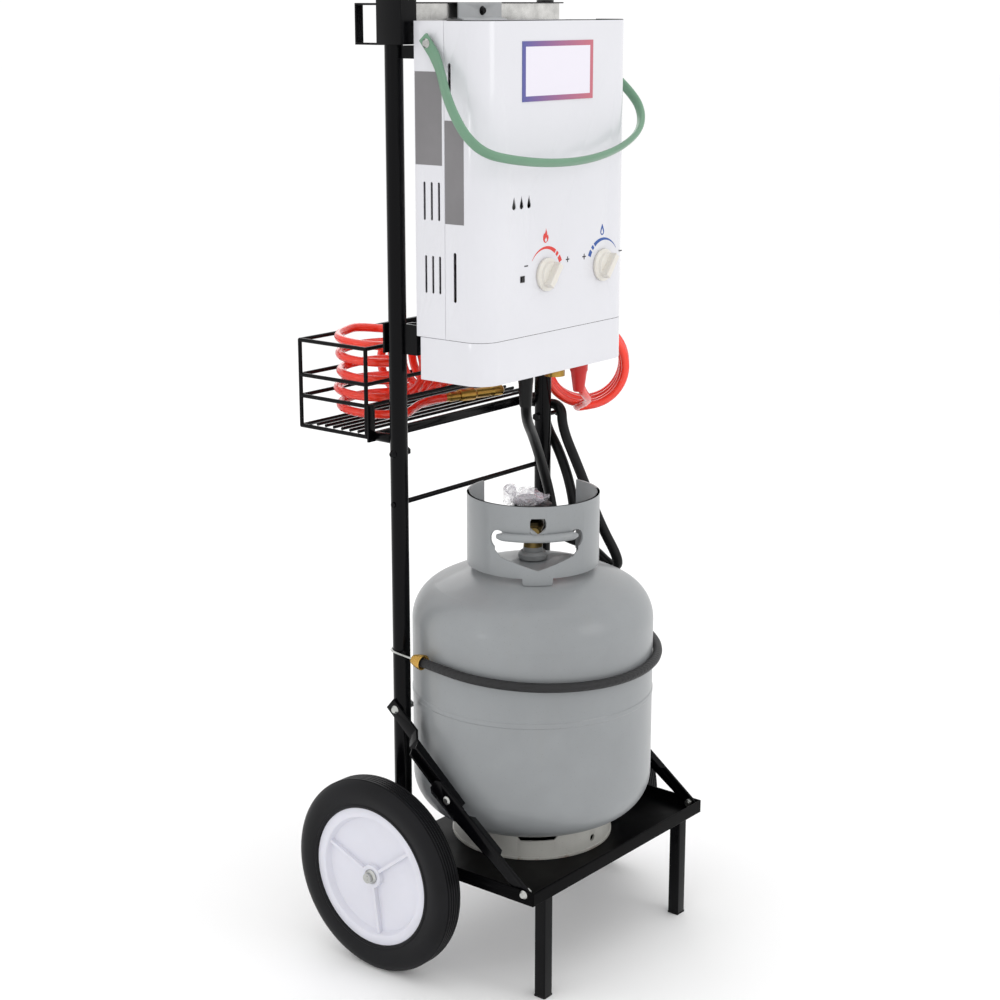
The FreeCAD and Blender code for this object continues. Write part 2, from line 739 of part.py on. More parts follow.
def radial_prism(outline, centre_angle, radius):
    """A cutter through a wall: outline is in (degrees, z), laid flat and pushed outwards."""
    turn = math.radians(centre_angle)
    out = Vec(math.sin(turn), -math.cos(turn), 0)
    side = Vec(math.cos(turn), math.sin(turn), 0)
    origin = Vec(0, tank_y, 0) + out * (radius * 0.45)
    points = [origin + side * (radius * math.sin(math.radians(a))) + AXIS_Z * z for a, z in outline]
    return prism(points, out * (radius * 0.75))


def tank_collar():
    """The guard: a bent band with ears at its ends, a hand window and tabs welded to the dome."""
    first = collar_front - collar_half_angle
    last = collar_front + collar_half_angle
    parts = [ring_wall(collar_r, collar_t, collar_z0, collar_z1, first, last)]
    for low in (first, last - collar_ear_angle):
        parts.append(ring_wall(collar_r, collar_t, collar_z1 - 2, collar_z1 + collar_ear,
                               low, low + collar_ear_angle))
    for middle in (collar_front, first + 14, last - 14):
        parts.append(ring_wall(collar_r, collar_t, collar_seat_z + weld_gap, collar_z0 + 1,
                               middle - collar_tab_angle, middle + collar_tab_angle))
    band = fuse_all(parts)
    w = window_half_angle
    window = [(-w, window_z0 + 8), (-w * 0.84, window_z0), (0, window_z0 - window_dip), (w * 0.84, window_z0),
              (w, window_z0 + 8), (w, window_z1 - 10), (w * 0.92, window_z1), (-w * 0.92, window_z1),
              (-w, window_z1 - 10)]
    eye = [(7 * math.sin(math.radians(72 * step)), eye_z - 8 * math.cos(math.radians(72 * step)))
           for step in range(5)]
    band = cut_all(band, [radial_prism(window, collar_front, collar_r),
                          radial_prism(eye, collar_front, collar_r)])
    for low in (first, last):
        corner = [(-5, collar_z1 + collar_ear - 7), (-5, collar_z1 + collar_ear + 5),
                  (5, collar_z1 + collar_ear + 5), (5, collar_z1 + collar_ear - 1)]
        if low == last:
            corner = [(-a, z) for a, z in corner]
        band = band.cut(radial_prism(corner, low, collar_r))
    return band


def collar_grip():
    """The rolled lip over the hand window."""
    turn = math.radians(collar_front)
    half = math.radians(window_half_angle * 0.88)
    r = collar_r + 1.5
    points = [Vec(r * math.sin(turn + k * half), tank_y - r * math.cos(turn + k * half), window_z1 - 0.5)
              for k in (-1, 0, 1)]
    path = Part.Wire([Part.Arc(*points).toShape()])
    heading = path.Edges[0].tangentAt(path.Edges[0].FirstParameter)
    outer = Part.Wire([Part.makeCircle(grip_r, points[0], heading)])
    lip = path.makePipeShell([outer], True, False)
    return lip.cut(ring_wall(collar_r + weld_gap, collar_t + 2 * weld_gap, collar_z0, collar_z1,
                             collar_front - 60, collar_front + 60))


def foot_ring():
    """The foot: a band with vent notches along its top and round drain holes."""
    first = tray_z + tray_t
    band = ring_wall(foot_ring_r, ring_t, first, foot_ring_top_z, 0, 180)
    band = fuse_all([band, ring_wall(foot_ring_r, ring_t, first, foot_ring_top_z, 180, 360)])
    lip = ring_wall(foot_ring_r + 1.5, ring_t + 3, first, first + 3, 0, 180)
    lip = lip.fuse(ring_wall(foot_ring_r + 1.5, ring_t + 3, first, first + 3, 180, 360))
    cutters = []
    for step in range(4):
        middle = collar_front + 90 * step
        notch = [(-16, foot_ring_top_z + 1), (-12, foot_ring_top_z - 8), (12, foot_ring_top_z - 8),
                 (16, foot_ring_top_z + 1)]
        cutters.append(radial_prism(notch, middle, foot_ring_r))
        turn = math.radians(middle + 45)
        way = Vec(math.sin(turn), -math.cos(turn), 0)
        start = Vec(0, tank_y, first + 15) + way * (foot_ring_r * 0.8)
        cutters.append(rod(start, start + way * (foot_ring_r * 0.4), 4.5))
    return cut_all(fuse_all([band, lip]), cutters + [lower_dome_solid(weld_gap)])


def lower_dome_solid(grow):
    """The outside of the lower domed end as a solid, grown by a clearance."""
    edges, start, end = dome_edges(grow, tank_low_z, -1, 0.0)
    centre = Vec(0, tank_y, tank_low_z)
    face = Part.Face(Part.Wire(edges + [Part.LineSegment(end, centre).toShape(),
                                        Part.LineSegment(centre, start).toShape()]))
    return face.revolve(centre, AXIS_Z, 360)


def valve_body():
    base = tank_top_z + 1.0
    column = [(0, base - 10), (10, base - 10), (10, base), (boss_r, base), (boss_r, base + boss_height - 3),
              (boss_r - 3, base + boss_height), (13, base + boss_height), (11.5, base + 24), (11.5, valve_z),
              (14, valve_z + 6), (14, valve_z + 12), (9, valve_z + 16), (9, valve_z + 22), (0, valve_z + 22)]
    body = revolved(column, Vec(0, tank_y, 0), AXIS_Z, AXIS_X)
    outlet = rod(Vec(0, tank_y, valve_z), Vec(0, tank_y, valve_z) + valve_way * valve_reach, 9.5)
    plug = rod(Vec(0, tank_y, valve_z), Vec(0, tank_y, valve_z) - valve_way * 17, 6.5)
    bore = rod(Vec(0, tank_y, valve_z + 8), Vec(0, tank_y, valve_z + 25), spindle_r + running_gap)
    return fuse_all([body, outlet, plug]).cut(bore)


def valve_handwheel():
    """A five-lobed wheel and its spindle."""
    z0 = valve_z + 22 + free_gap
    disc = rod(Vec(0, tank_y, z0), Vec(0, tank_y, z0 + 12), 24)
    lobes = []
    for step in range(5):
        turn = math.radians(72 * step)
        centre = Vec(26 * math.cos(turn), tank_y + 26 * math.sin(turn), z0 - 1)
        lobes.append(rod(centre, centre + AXIS_Z * 14, 5))
    spindle = rod(Vec(0, tank_y, valve_z + 10), Vec(0, tank_y, z0 + 1), spindle_r)
    return fuse_all([cut_all(disc, lobes), spindle])


def valve_film():
    """A crumpled clear wrap over the handwheel, gathered in a knot at one side."""
    z0 = valve_z + 22 + free_gap + 12
    dome = Part.makeCone(23, 17, 7, Vec(0, tank_y, z0), AXIS_Z)
    knot = Part.makeCone(7, 11, 13, Vec(-11, tank_y - 3, z0 + 5), Vec(-0.25, 0.1, 1))
    tail = Part.makeCone(6, 9, 12, Vec(8, tank_y - 3, z0 + 6), Vec(0.9, -0.4, 0.25))
    return fuse_all([dome, knot, tail])


def coupling_nut():
    """The moulded hand nut that joins the regulator to the valve."""
    start = Vec(0, tank_y, valve_z) + valve_way * (valve_reach + weld_gap)
    ring = pipe(start, start + valve_way * 24, 21, 8.5)
    side = valve_way.cross(AXIS_Z)
    grooves = []
    for step in range(12):
        turn = math.radians(30 * step)
        centre = start + side * (22 * math.cos(turn)) + AXIS_Z * (22 * math.sin(turn)) - valve_way
        grooves.append(rod(centre, centre + valve_way * 26, 2.2))
    return cut_all(ring, grooves)


def regulator():
    """A dome-shaped regulator: stem through the nut, body with its bonnet up, and an outlet."""
    start = Vec(0, tank_y, valve_z) + valve_way * (valve_reach + weld_gap)
    stem = rod(start, start + valve_way * 34, 8)
    body = revolved([(0, -16), (14, -16), (20, -8), (28, -8), (30, -5), (30, 3), (28, 6), (22, 8), (20, 18),
                     (16, 21), (0, 21)], regulator_middle, AXIS_Z, AXIS_X)
    outlet = rod(regulator_middle, regulator_end, 8.2)
    return fuse_all([stem, body, outlet])


# Heater

def rounded_front(inset, z0, z1, back):
    """A prism with the plan of the heater: square at the back, round at the front corners."""
    half = heater_half - inset
    front = heater_front_y + inset
    body = block(-half, half, front, back, z0, z1)
    edges = [edge for edge in body.Edges if edge.Length > z1 - z0 - 0.1 and edge.BoundBox.YMax < front + 1
             and edge.BoundBox.ZMax - edge.BoundBox.ZMin > z1 - z0 - 0.1]
    return body.makeFillet(corner_r - inset, edges)


def side_slot(y, z0, z1, width):
    """A slot with round ends through both side walls."""
    half = heater_half + 2
    radius = width / 2
    slot = block(-half, half, y - radius, y + radius, z0 + radius, z1 - radius)
    ends = [x_hole(-half, half, y, z, radius) for z in (z0 + radius, z1 - radius)]
    return fuse_all([slot] + ends)


def y_hole(x, z, radius):
    return rod(Vec(x, heater_front_y - 2, z), Vec(x, heater_front_y + 6, z), radius)


def drop_hole(x):
    """A drop-shaped window: a round bottom and a pointed top."""
    radius = 3.6
    low = drop_z0 + radius
    front = heater_front_y - 2
    outline = [Vec(x - radius * 0.93, front, low + radius * 0.36), Vec(x, front, drop_z1),
               Vec(x + radius * 0.93, front, low + radius * 0.36)]
    return prism(outline, AXIS_Y * 8).fuse(y_hole(x, low, radius))


def front_cover():
    outer = rounded_front(0, heater_seam_z, heater_z1, heater_split_y)
    inner = rounded_front(heater_wall, heater_seam_z - 1, heater_z1 + 1, heater_split_y + 1)
    shell = outer.cut(inner)
    cuts = [side_slot(heater_split_y - 7.8, heater_z1 - 83, heater_z1 - 47, 4.5),
            side_slot(heater_split_y - 15.0, heater_seam_z + 45.5, heater_seam_z + 104.5, 4.5)]
    cuts += [y_hole(x, knob_z, spindle_r + 1.5) for x in (gas_knob_x, water_knob_x)]
    cuts += [drop_hole(switch_x - 16.5 + 14.3 * step) for step in range(3)]
    cuts.append(block(switch_x - switch_size / 2, switch_x + switch_size / 2, heater_front_y - 2,
                      heater_front_y + 6, switch_z - 4, switch_z + 4))
    return cut_all(shell, cuts)


def rear_casing():
    front = heater_split_y + cover_gap
    half = heater_half
    t = heater_wall
    sides = block(-half, half, front, heater_back_y, heater_seam_z, heater_z1)
    hollow = block(-half + t, half - t, front - 1, heater_back_y - t, heater_seam_z - 1, heater_z1 + 1)
    cuts = [x_hole(-half - 1, half + 1, bail_pivot_y, bail_pivot_z, bail_pin_r + hole_play)]
    for step in range(3):
        cuts.append(side_slot(heater_back_y - 14.2 - 11.2 * step,
                              heater_z1 - 228.5, heater_z1 - 183.5, 3.4))
        cuts.append(side_slot(heater_back_y - 15.7 - 10.9 * step,
                              heater_seam_z + 53.5, heater_seam_z + 98.5, 3.4))
    return cut_all(sides.cut(hollow), cuts)


def lower_cover():
    t = heater_wall
    top = heater_seam_z - cover_gap
    outer = rounded_front(0, heater_z0, top, lower_back_y)
    inner = rounded_front(t, heater_z0 + t, top + 1, lower_back_y - t)
    shell = outer.cut(inner)
    holes = [rod(Vec(x, y, heater_z0 - 1), Vec(x, y, heater_z0 + 3), thread_r + 1.0)
             for x, y in (gas_inlet, water_outlet, water_inlet)]
    return cut_all(shell, holes)


def top_grille():
    """The dark outlet plate in the top, with rows of slots for the flue gas."""
    t = heater_wall
    plate = rounded_front(t + free_gap, heater_z1 - 5, heater_z1 - 3, heater_back_y - t - free_gap)
    slots = []
    for row in range(3):
        for step in range(9):
            x = 28 * (step - 4)
            y = heater_front_y + 26.3 + 28 * row
            slots.append(block(x - 9, x + 9, y - 3, y + 3, heater_z1 - 6, heater_z1 - 2))
    return cut_all(plate, slots)


def combustion_chamber():
    t = heater_wall
    outer = block(-works_half, works_half, works_y0, works_y1, chamber_z0, exchanger_z0)
    return outer.cut(block(-works_half + t, works_half - t, works_y0 + t, works_y1 - t,
                           chamber_z0 - 1, exchanger_z0 + 1))


def heat_exchanger():
    """A finned block above the chamber, between two headers."""
    z0 = exchanger_z0 + free_gap
    body = block(-works_half, works_half, works_y0, works_y1, z0, exchanger_z1)
    pitch = (2 * works_half - 4) / 10
    gaps = [block(-works_half + 4 + pitch * step, -works_half + pitch * (step + 0.7), works_y0 - 1,
                  works_y1 + 1, z0 + 2, exchanger_z1 - 2) for step in range(10)]
    middle = works_half + 3.5
    headers = [block(side * middle - 3.5, side * middle + 3.5, works_y0 + 10, works_y1 - 10,
                     z0 + 6, exchanger_z1 - 8) for side in (-1, 1)]
    return fuse_all([cut_all(body, gaps)] + headers)


def burner():
    """A tray of burner bars under the chamber."""
    half = works_half - 5
    top = chamber_z0 - free_gap
    tray_box = block(-half, half, works_y0 + 4, works_y1 - 4, burner_z0, top)
    tray_box = tray_box.cut(block(-half + 2, half - 2, works_y0 + 6, works_y1 - 6, burner_z0 + 2, top + 1))
    pitch = (2 * half - 2) / 6
    bars = [block(-half + 8 + pitch * step, -half + pitch * (step + 1) - 5, works_y0 + 5, works_y1 - 5,
                  burner_z0 + 1, top - 2) for step in range(6)]
    return fuse_all([tray_box] + bars)


def gas_valve():
    x, y = gas_inlet
    body = block(gas_knob_x - 20, gas_knob_x + 20, works_y0, works_y0 + 42, knob_z - 16, knob_z + 16)
    feed = rod(Vec(gas_knob_x, works_y0 + 22, knob_z),
               Vec(gas_knob_x, works_y0 + 22, burner_z0 - free_gap), 9)
    drop = rod(Vec(x, y, heater_z0 + 24), Vec(x, y, knob_z), 7)
    bore = rod(Vec(gas_knob_x, works_y0 - 8, knob_z), Vec(gas_knob_x, works_y0 + 18, knob_z),
               spindle_r + running_gap)
    return fuse_all([body, feed, drop]).cut(bore)


def water_valve():
    x, y = water_inlet
    body = rod(Vec(water_knob_x, works_y0, knob_z), Vec(water_knob_x, works_y0 + 44, knob_z), 24)
    flange = rod(Vec(water_knob_x, works_y0 + 16, knob_z), Vec(water_knob_x, works_y0 + 24, knob_z), 29)
    drop = rod(Vec(x + 8, y, heater_z0 + 64), Vec(x + 8, y, knob_z), 7)
    elbow = rod(Vec(x, y, heater_z0 + 24), Vec(x, y, heater_z0 + 76), 7)
    bore = rod(Vec(water_knob_x, works_y0 - 8, knob_z), Vec(water_knob_x, works_y0 + 18, knob_z),
               spindle_r + running_gap)
    return fuse_all([body, flange, drop, elbow]).cut(bore)


def ignition_box():
    z0 = heater_z0 + heater_wall
    x0 = -heater_half + 18
    y0 = works_y0 + 4
    box = block(x0, x0 + 72, y0, y0 + 40, z0, z0 + 60)
    hollow = block(x0 + 3, x0 + 69, y0 + 3, y0 + 37, z0 + 5, z0 + 61)
    cells = [rod(Vec(x0 + step, y0 + 20, z0 + 4), Vec(x0 + step, y0 + 20, z0 + 55), 14) for step in (22, 52)]
    return fuse_all([box.cut(hollow)] + cells)


def inner_pipes():
    """Copper pipes: exchanger to outlet, down beside the chamber."""
    x = works_half + 21
    y = works_y1 - 18
    foot = Vec(water_outlet[0], water_outlet[1], heater_z0 + 18)
    knee = foot + AXIS_Z * 12
    bend = Vec(x, y, heater_z0 + 44)
    top = Vec(x, y, exchanger_z1 - 25)
    start = Vec(works_half + 7 + free_gap, y, exchanger_z1 - 25)
    pieces = [rod(a, b, pipe_r) for a, b in ((start, top), (top, bend), (bend, knee), (knee, foot))]
    return fuse_all(pieces + [Part.makeSphere(pipe_r, place) for place in (top, bend, knee)])


def threaded_fitting(place, below, radius, reach):
    """A brass union through the lower cover: a hexagon inside, a threaded spigot below."""
    x, y = place
    z = heater_z0
    spigot = rod(Vec(x, y, z - below), Vec(x, y, z + reach), radius)
    collar = hexagon(Vec(x, y, z + heater_wall + weld_gap), AXIS_Z, AXIS_X, radius + 4, 8)
    return fuse_all([spigot, collar])


def gas_fitting():
    return threaded_fitting(gas_inlet, fitting_length - 2, 7.2, 23.8)


def water_in_fitting():
    return threaded_fitting(water_inlet, fitting_length, thread_r, 23.8)


def water_out_fitting():
    return threaded_fitting(water_outlet, fitting_length, 9.0, 17.8)


def knob(x):
    """A round knob with a raised grip across its face."""
    y0 = heater_front_y - free_gap
    profile = [(0, 0), (knob_r, 0), (knob_r, 3), (knob_neck_r + 1.5, 5), (knob_neck_r, 8), (0, 8)]
    base = revolved(profile, Vec(x, y0, knob_z), -AXIS_Y, AXIS_Z)
    grip = block(-4.2, 4.2, -knob_depth, -7, -knob_neck_r - 1.5, knob_neck_r + 1.5)
    edges = [edge for edge in grip.Edges if edge.BoundBox.YMax < -knob_depth + 0.1]
    grip = grip.makeFillet(1.8, edges)
    grip.rotate(Vec(0, 0, 0), AXIS_Y, knob_turn)
    grip.translate(Vec(x, y0, knob_z))
    return fuse_all([base, grip])


def spindle(x):
    """The spindle that the knob turns, running in the valve behind it."""
    return rod(Vec(x, heater_front_y - free_gap, knob_z), Vec(x, works_y0 + 17, knob_z), spindle_r)


def switch_housing():
    half = switch_size / 2 - free_gap / 3
    y0 = heater_front_y + free_gap
    body = block(switch_x - half, switch_x + half, y0, y0 + 12, switch_z - 3.9, switch_z + 3.9)
    return body.cut(block(switch_x - half + 1, switch_x + half - 1, y0 - 1, y0 + 6,
                          switch_z - 3, switch_z + 3))


def switch_slider():
    half = switch_size / 2 - free_gap / 3 - 1
    x0 = switch_x - half + free_gap
    width = 2 * half - 2 * free_gap - switch_travel
    y0 = heater_front_y + free_gap
    return block(x0, x0 + width, y0 - 2.2, y0 + 6 - free_gap, switch_z - 2.6, switch_z + 2.6)


def bail_point(x, reach, lift=0.0):
    """A place in the bail's own plane: reach from the pivots, lift square to the plane."""
    turn = math.radians(bail_angle)
    down = Vec(0, -math.sin(turn), -math.cos(turn))
    normal = Vec(0, -math.cos(turn), math.sin(turn))
    return Vec(x, bail_pivot_y, bail_pivot_z) + down * reach + normal * lift


def bail_outline(offset):
    """Edges of the bail's centre line moved outwards by offset: legs, corners and a bowed front."""
    legs_end = bail_reach * 0.56
    return [bail_point(-bail_half - offset, -10), bail_point(-bail_half - offset, 12),
            bail_point(-(bail_half + bail_bulge) / 2 - 3 - offset, legs_end * 0.55),
            bail_point(-bail_bulge - offset, legs_end),
            bail_point(-bail_bulge + 11 - offset * 0.85, bail_reach * 0.79 + offset * 0.5),
            bail_point(-bail_bulge + 42 - offset * 0.45, bail_reach * 0.91 + offset * 0.9),
            bail_point(0, bail_reach + offset)]


def bail_side(offset):
    p = bail_outline(offset)
    return [Part.LineSegment(p[0], p[1]).toShape(), Part.Arc(p[1], p[2], p[3]).toShape(),
            Part.Arc(p[3], p[4], p[5]).toShape(),
            Part.Arc(p[5], bail_point(0, bail_reach + offset), bail_point(-p[5].x, bail_reach * 0.91
                                                                          + offset * 0.9)).toShape()]


def bail_handle():
    """A flat plastic band bent to a bow, with a pivot hole in each end."""
    sides = []
    for offset in (bail_t / 2, -bail_t / 2):
        edges = bail_side(offset)
        edges += [mirrored(edge) for edge in edges[:3]]
        sides.append(edges)
    ends = []
    for side in (-1, 1):
        ends.append(Part.LineSegment(bail_point(side * (bail_half + bail_t / 2), -10),
                                     bail_point(side * (bail_half - bail_t / 2), -10)).toShape())
    face = Part.Face(Part.Wire(Part.__sortEdges__(sides[0] + sides[1] + ends)))
    normal = bail_point(0, 0, 1) - bail_point(0, 0, 0)
    band = face.extrude(normal * bail_width)
    band.translate(normal * (-bail_width / 2))
    holes = [x_hole(side * (bail_half - bail_t), side * (bail_half + bail_t), bail_pivot_y, bail_pivot_z,
                    bail_pin_r + running_gap) for side in (-1, 1)]
    return cut_all(band, holes)


def bail_screws():
    """Shoulder screws that the bail swings on."""
    outer = bail_half + bail_t / 2 + free_gap
    shank = rod(Vec(heater_half - heater_wall - 3, bail_pivot_y, bail_pivot_z),
                Vec(outer, bail_pivot_y, bail_pivot_z), bail_pin_r)
    head = Part.makeCone(5.5, 3.5, 2, Vec(outer, bail_pivot_y, bail_pivot_z), AXIS_X)
    washer = rod(Vec(heater_half, bail_pivot_y, bail_pivot_z),
                 Vec(bail_half - bail_t / 2 - free_gap, bail_pivot_y, bail_pivot_z), 5)
    screw = fuse_all([shank, head, washer])
    return both_sides(screw)


def badge():
    """A thin plate on the front cover."""
    y = heater_front_y
    return block(badge_x0, badge_x1, y - badge_t, y, badge_z0, badge_z1)


def side_labels():
    """Two thin grey stickers on the left side."""
    x = -heater_half
    t = label_t
    rear = block(x - t, x, heater_split_y + 4, heater_back_y - 1, heater_z1 - 164, heater_z1 - 57)
    fore = block(x - t, x, heater_split_y - 29, heater_split_y - 0.5, heater_z1 - 231, heater_z1 - 112)
    return Part.makeCompound([rear, fore])


# Basket

def basket_rails():
    """Four rectangles of wire and the four corner posts."""
    x0, x1, y0, y1 = basket_x0, basket_x1, basket_front_y, basket_back_y
    parts = []
    for z in (basket_z0,) + basket_rail_z + (basket_z1,):
        corners = [Vec(x0, y0, z), Vec(x1, y0, z), Vec(x1, y1, z), Vec(x0, y1, z)]
        for start, end in zip(corners, corners[1:] + corners[:1]):
            parts.append(rod(start, end, wire_r))
        parts += [Part.makeSphere(wire_r, corner) for corner in corners]
    for px in (x0, x1):
        for py in (y0, y1):
            parts.append(rod(Vec(px, py, basket_z0), Vec(px, py, basket_z1), wire_r))
    return parts[0].fuse(parts[1:])


def basket_floor():
    """Long wires laid on the bottom rectangle's short sides."""
    z = basket_z0 + wire_r + floor_wire_r + weld_gap
    pitch = (basket_back_y - basket_front_y) / (floor_wires + 1)
    wires = [rod(Vec(basket_x0, basket_front_y + pitch * (step + 1), z),
                 Vec(basket_x1, basket_front_y + pitch * (step + 1), z), floor_wire_r)
             for step in range(floor_wires)]
    return Part.makeCompound(wires)


def basket_strap():
    """A flat bar under the front edge, turned up at both ends."""
    back = basket_front_y - wire_r - weld_gap
    front = back - sheet
    x0 = basket_x0 - wire_r
    x1 = basket_x1 + wire_r
    z0 = basket_z0 - strap_width / 2
    z1 = basket_rail_z[0] + wire_r
    bottom = block(x0, x1, front, back, z0, z0 + strap_width)
    left = block(x0, x0 + strap_width, front, back, z0, z1)
    right = block(x1 - strap_width, x1, front, back, z0, z1)
    body = fuse_all([bottom, left, right])
    holes = [rod(Vec(side * tube_x, front - 1, basket_z0), Vec(side * tube_x, back + 1, basket_z0),
                 bolt_r + hole_play) for side in (-1, 1)]
    return cut_all(body, holes)


def basket_spacers():
    """Bolts with spacer sleeves that hold the flat bar off the uprights."""
    back = basket_front_y - wire_r - weld_gap
    front = back - sheet
    pieces = []
    for side in (-1, 1):
        x = side * tube_x
        sleeve = rod(Vec(x, tube_r + weld_gap, basket_z0), Vec(x, front, basket_z0), 6)
        shank = rod(Vec(x, tube_bore, basket_z0), Vec(x, back - weld_gap, basket_z0), bolt_r)
        pieces.append(sleeve.fuse(shank))
    return Part.makeCompound(pieces)


def basket_hooks():
    """Strips on the lower cross bar that hook over the basket's top front wire."""
    front = tube_r + weld_gap + sheet
    top = basket_z1 + wire_r + weld_gap
    far = basket_front_y + wire_r + weld_gap
    t = 2.0
    outline = [Vec(0, front, lower_bar_z0 + 2), Vec(0, front, lower_bar_z0 + 30),
               Vec(0, front + t, lower_bar_z0 + 30), Vec(0, front + t, top + t), Vec(0, far + t, top + t),
               Vec(0, far + t, basket_z1 - 4), Vec(0, far, basket_z1 - 4), Vec(0, far, top),
               Vec(0, front + t, top), Vec(0, front + t, lower_bar_z0 + 2)]
    hook = prism(outline, AXIS_X * 12)
    hook.translate(Vec(hook_x, 0, 0))
    return both_sides(hook)


# Hoses and strap

def route_wire(points, share=0.45):
    """Straight runs through the points, joined by arcs as large as the runs allow."""
    edges = []
    radii = []
    last = points[0]
    for before, corner, after in zip(points, points[1:], points[2:]):
        inward = corner - before
        outward = after - corner
        run = min(inward.Length, outward.Length) * share
        turn = inward.getAngle(outward)
        radii.append(run / math.tan(turn / 2))
        inward.normalize()
        outward.normalize()
        start = corner - inward * run
        end = corner + outward * run
        toward = outward - inward
        toward.normalize()
        height = radii[-1] * (1 / math.cos(turn / 2) - 1)
        edges.append(Part.LineSegment(last, start).toShape())
        edges.append(Part.Arc(start, corner + toward * height, end).toShape())
        last = end
    edges.append(Part.LineSegment(last, points[-1]).toShape())
    return Part.Wire(edges), radii


def tube_on(path, radius, sides=0):
    """A tube of one radius along a wire. Sides makes its section a polygon instead of a circle."""
    first = path.Edges[0]
    start = first.valueAt(first.FirstParameter)
    heading = first.tangentAt(first.FirstParameter)
    if sides:
        across = heading.cross(AXIS_Z) if abs(heading.z) < 0.9 else heading.cross(AXIS_X)
        across.normalize()
        upward = across.cross(heading)
        grown = radius * math.sqrt(2 * math.pi / (sides * math.sin(2 * math.pi / sides)))
        corners = []
        for step in range(sides):
            turn = 2 * math.pi * (step + 0.5) / sides
            corners.append(start + across * (grown * math.cos(turn)) + upward * (grown * math.sin(turn)))
        section = Part.makePolygon(corners + [corners[0]])
    else:
        section = Part.Wire([Part.makeCircle(radius, start, heading)])
    return path.makePipeShell([section], True, False)


def report_tube(name, path, shape, radius, radii):
    expected = math.pi * radius ** 2 * path.Length
    print(name, "length", round(path.Length), "volume over section times length",
          round(shape.Volume / expected, 4), "radii", [round(value) for value in radii])


def gas_hose():
    """From the regulator up over the peg on the right upright, down and up to the heater."""
    path, radii = route_wire(gas_hose_route)
    shape = tube_on(path, gas_hose_r, hose_sides)
    report_tube("gas_hose", path, shape, gas_hose_r, radii)
    return shape


def arc_from(start, heading, end):
    """The arc that leaves start along heading and reaches end, and its heading there."""
    chord = end - start
    length = chord.Length
    unit = Vec(chord)
    unit.normalize()
    along = heading.dot(unit)
    bend = heading - unit * along
    final = unit * (2 * along) - heading
    if bend.Length < 1e-6:
        return Part.LineSegment(start, end).toShape(), final
    turn = math.atan2(bend.Length, along)
    bend.normalize()
    middle = (start + end) * 0.5 + bend * (length / 2 * math.tan(turn / 2))
    return Part.Arc(start, middle, end).toShape(), final


def biarc(start, heading, end, final):
    """Two arcs that share a tangent, from one place and heading to another."""
    span = end - start
    total = heading + final
    a = 2 * (1 - heading.dot(final))
    b = span.dot(total)
    if a > 1e-6:
        reach = (-b + math.sqrt(b * b + a * span.dot(span))) / a
    else:
        reach = span.dot(span) / (2 * b)
    joint = (start + heading * reach + end - final * reach) * 0.5
    first, middle = arc_from(start, heading, joint)
    second, last = arc_from(joint, middle, end)
    return [first, second]


def coil_stations(centre, axis, across, radius, pitch, turns):
    """Places and headings along a helix, one each quarter turn."""
    side = axis.cross(across)
    stations = []
    for step in range(int(turns * 4) + 1):
        turn = math.pi / 2 * step
        around = across * math.cos(turn) + side * math.sin(turn)
        place = centre + around * radius + axis * (pitch * step / 4)
        heading = (side * math.cos(turn) - across * math.sin(turn)) * radius + axis * (pitch / (2 * math.pi))
        heading.normalize()
        stations.append((place, heading))
    return stations


def path_through(stations):
    edges = []
    for (start, heading), (end, final) in zip(stations, stations[1:]):
        edges += biarc(start, heading, end, final)
    return Part.Wire(edges)


def least_gap(paths, radius):
    """The least gap of a wound tube to itself, measured on points 2 mm apart."""
    points = []
    for path in paths:
        points += path.discretize(Distance=2.0)
    near = 1e9
    skip = int(radius * 4)
    for index, place in enumerate(points):
        for other in points[index + skip:]:
            if max(abs(place.x - other.x), abs(place.y - other.y), abs(place.z - other.z)) < near:
                near = min(near, place.distanceToPoint(other))
    return near - 2 * radius


def red_hose():
    """The recoil hose: out of the heater, a hanging bunch, a run in the basket and a stack."""
    bunch = coil_stations(bunch_centre, -bunch_way, -AXIS_Z, bunch_r, -bunch_pitch, bunch_turns)
    run = coil_stations(run_start, -AXIS_X, AXIS_Z, run_r, run_pitch, run_turns)
    stack = coil_stations(stack_start, AXIS_Z, AXIS_Y, stack_r, -stack_pitch, stack_turns)
    stretches = [lead_stations + [bunch[0]], bunch, [bunch[-1]] + link_stations + [run[0]], run,
                 [run[-1], stack[0]], stack, [stack[-1]] + tail_stations]
    paths = [path_through(stations) for stations in stretches]
    print("red hose length", round(sum(path.Length for path in paths)), "least gap to itself",
          round(least_gap(paths, red_hose_r), 2))
    tubes = [tube_on(path, red_hose_r, hose_sides) for path in paths]
    return {"red_hose_bunch": tubes[1], "red_hose_run": tubes[3], "red_hose_stack": tubes[5],
            "red_hose_links": group(*tubes[::2])}


def nozzle_parts():
    """The brass spray nozzle on the basket floor: a hose tail, a body and a tip."""
    start, way = tail_stations[-1]
    tail = [(0, 0), (5.5, 0), (5.5, 5), (6.4, 8), (6.4, 22), (0, 22)]
    body = [(0, 22.2), (7.6, 22.2), (nozzle_r, 25), (nozzle_r, 46), (6.8, 49), (6.8, 72), (0, 72)]
    tip = [(0, 72.2), (5.4, 72.2), (7.4, 78), (7.4, 92), (5.0, 95), (0, 95)]
    return [revolved(profile, start, way, AXIS_Z) for profile in (tail, body, tip)]


def strap_geometry():
    """Tangent points of the strap on the cylinder and on the left upright, seen from above."""
    big = tank_r + elastic_r + strap_gap
    small = tube_r + hook_wire_r + weld_gap
    gap = math.hypot(tube_x, tank_y)
    toward = math.atan2(-tank_y, -tube_x)
    turn = toward + math.acos((big - small) / gap)
    return big, small, turn


def tilted(shape):
    shape.rotate(Vec(0, 0, elastic_z), AXIS_X, elastic_tilt)
    return shape


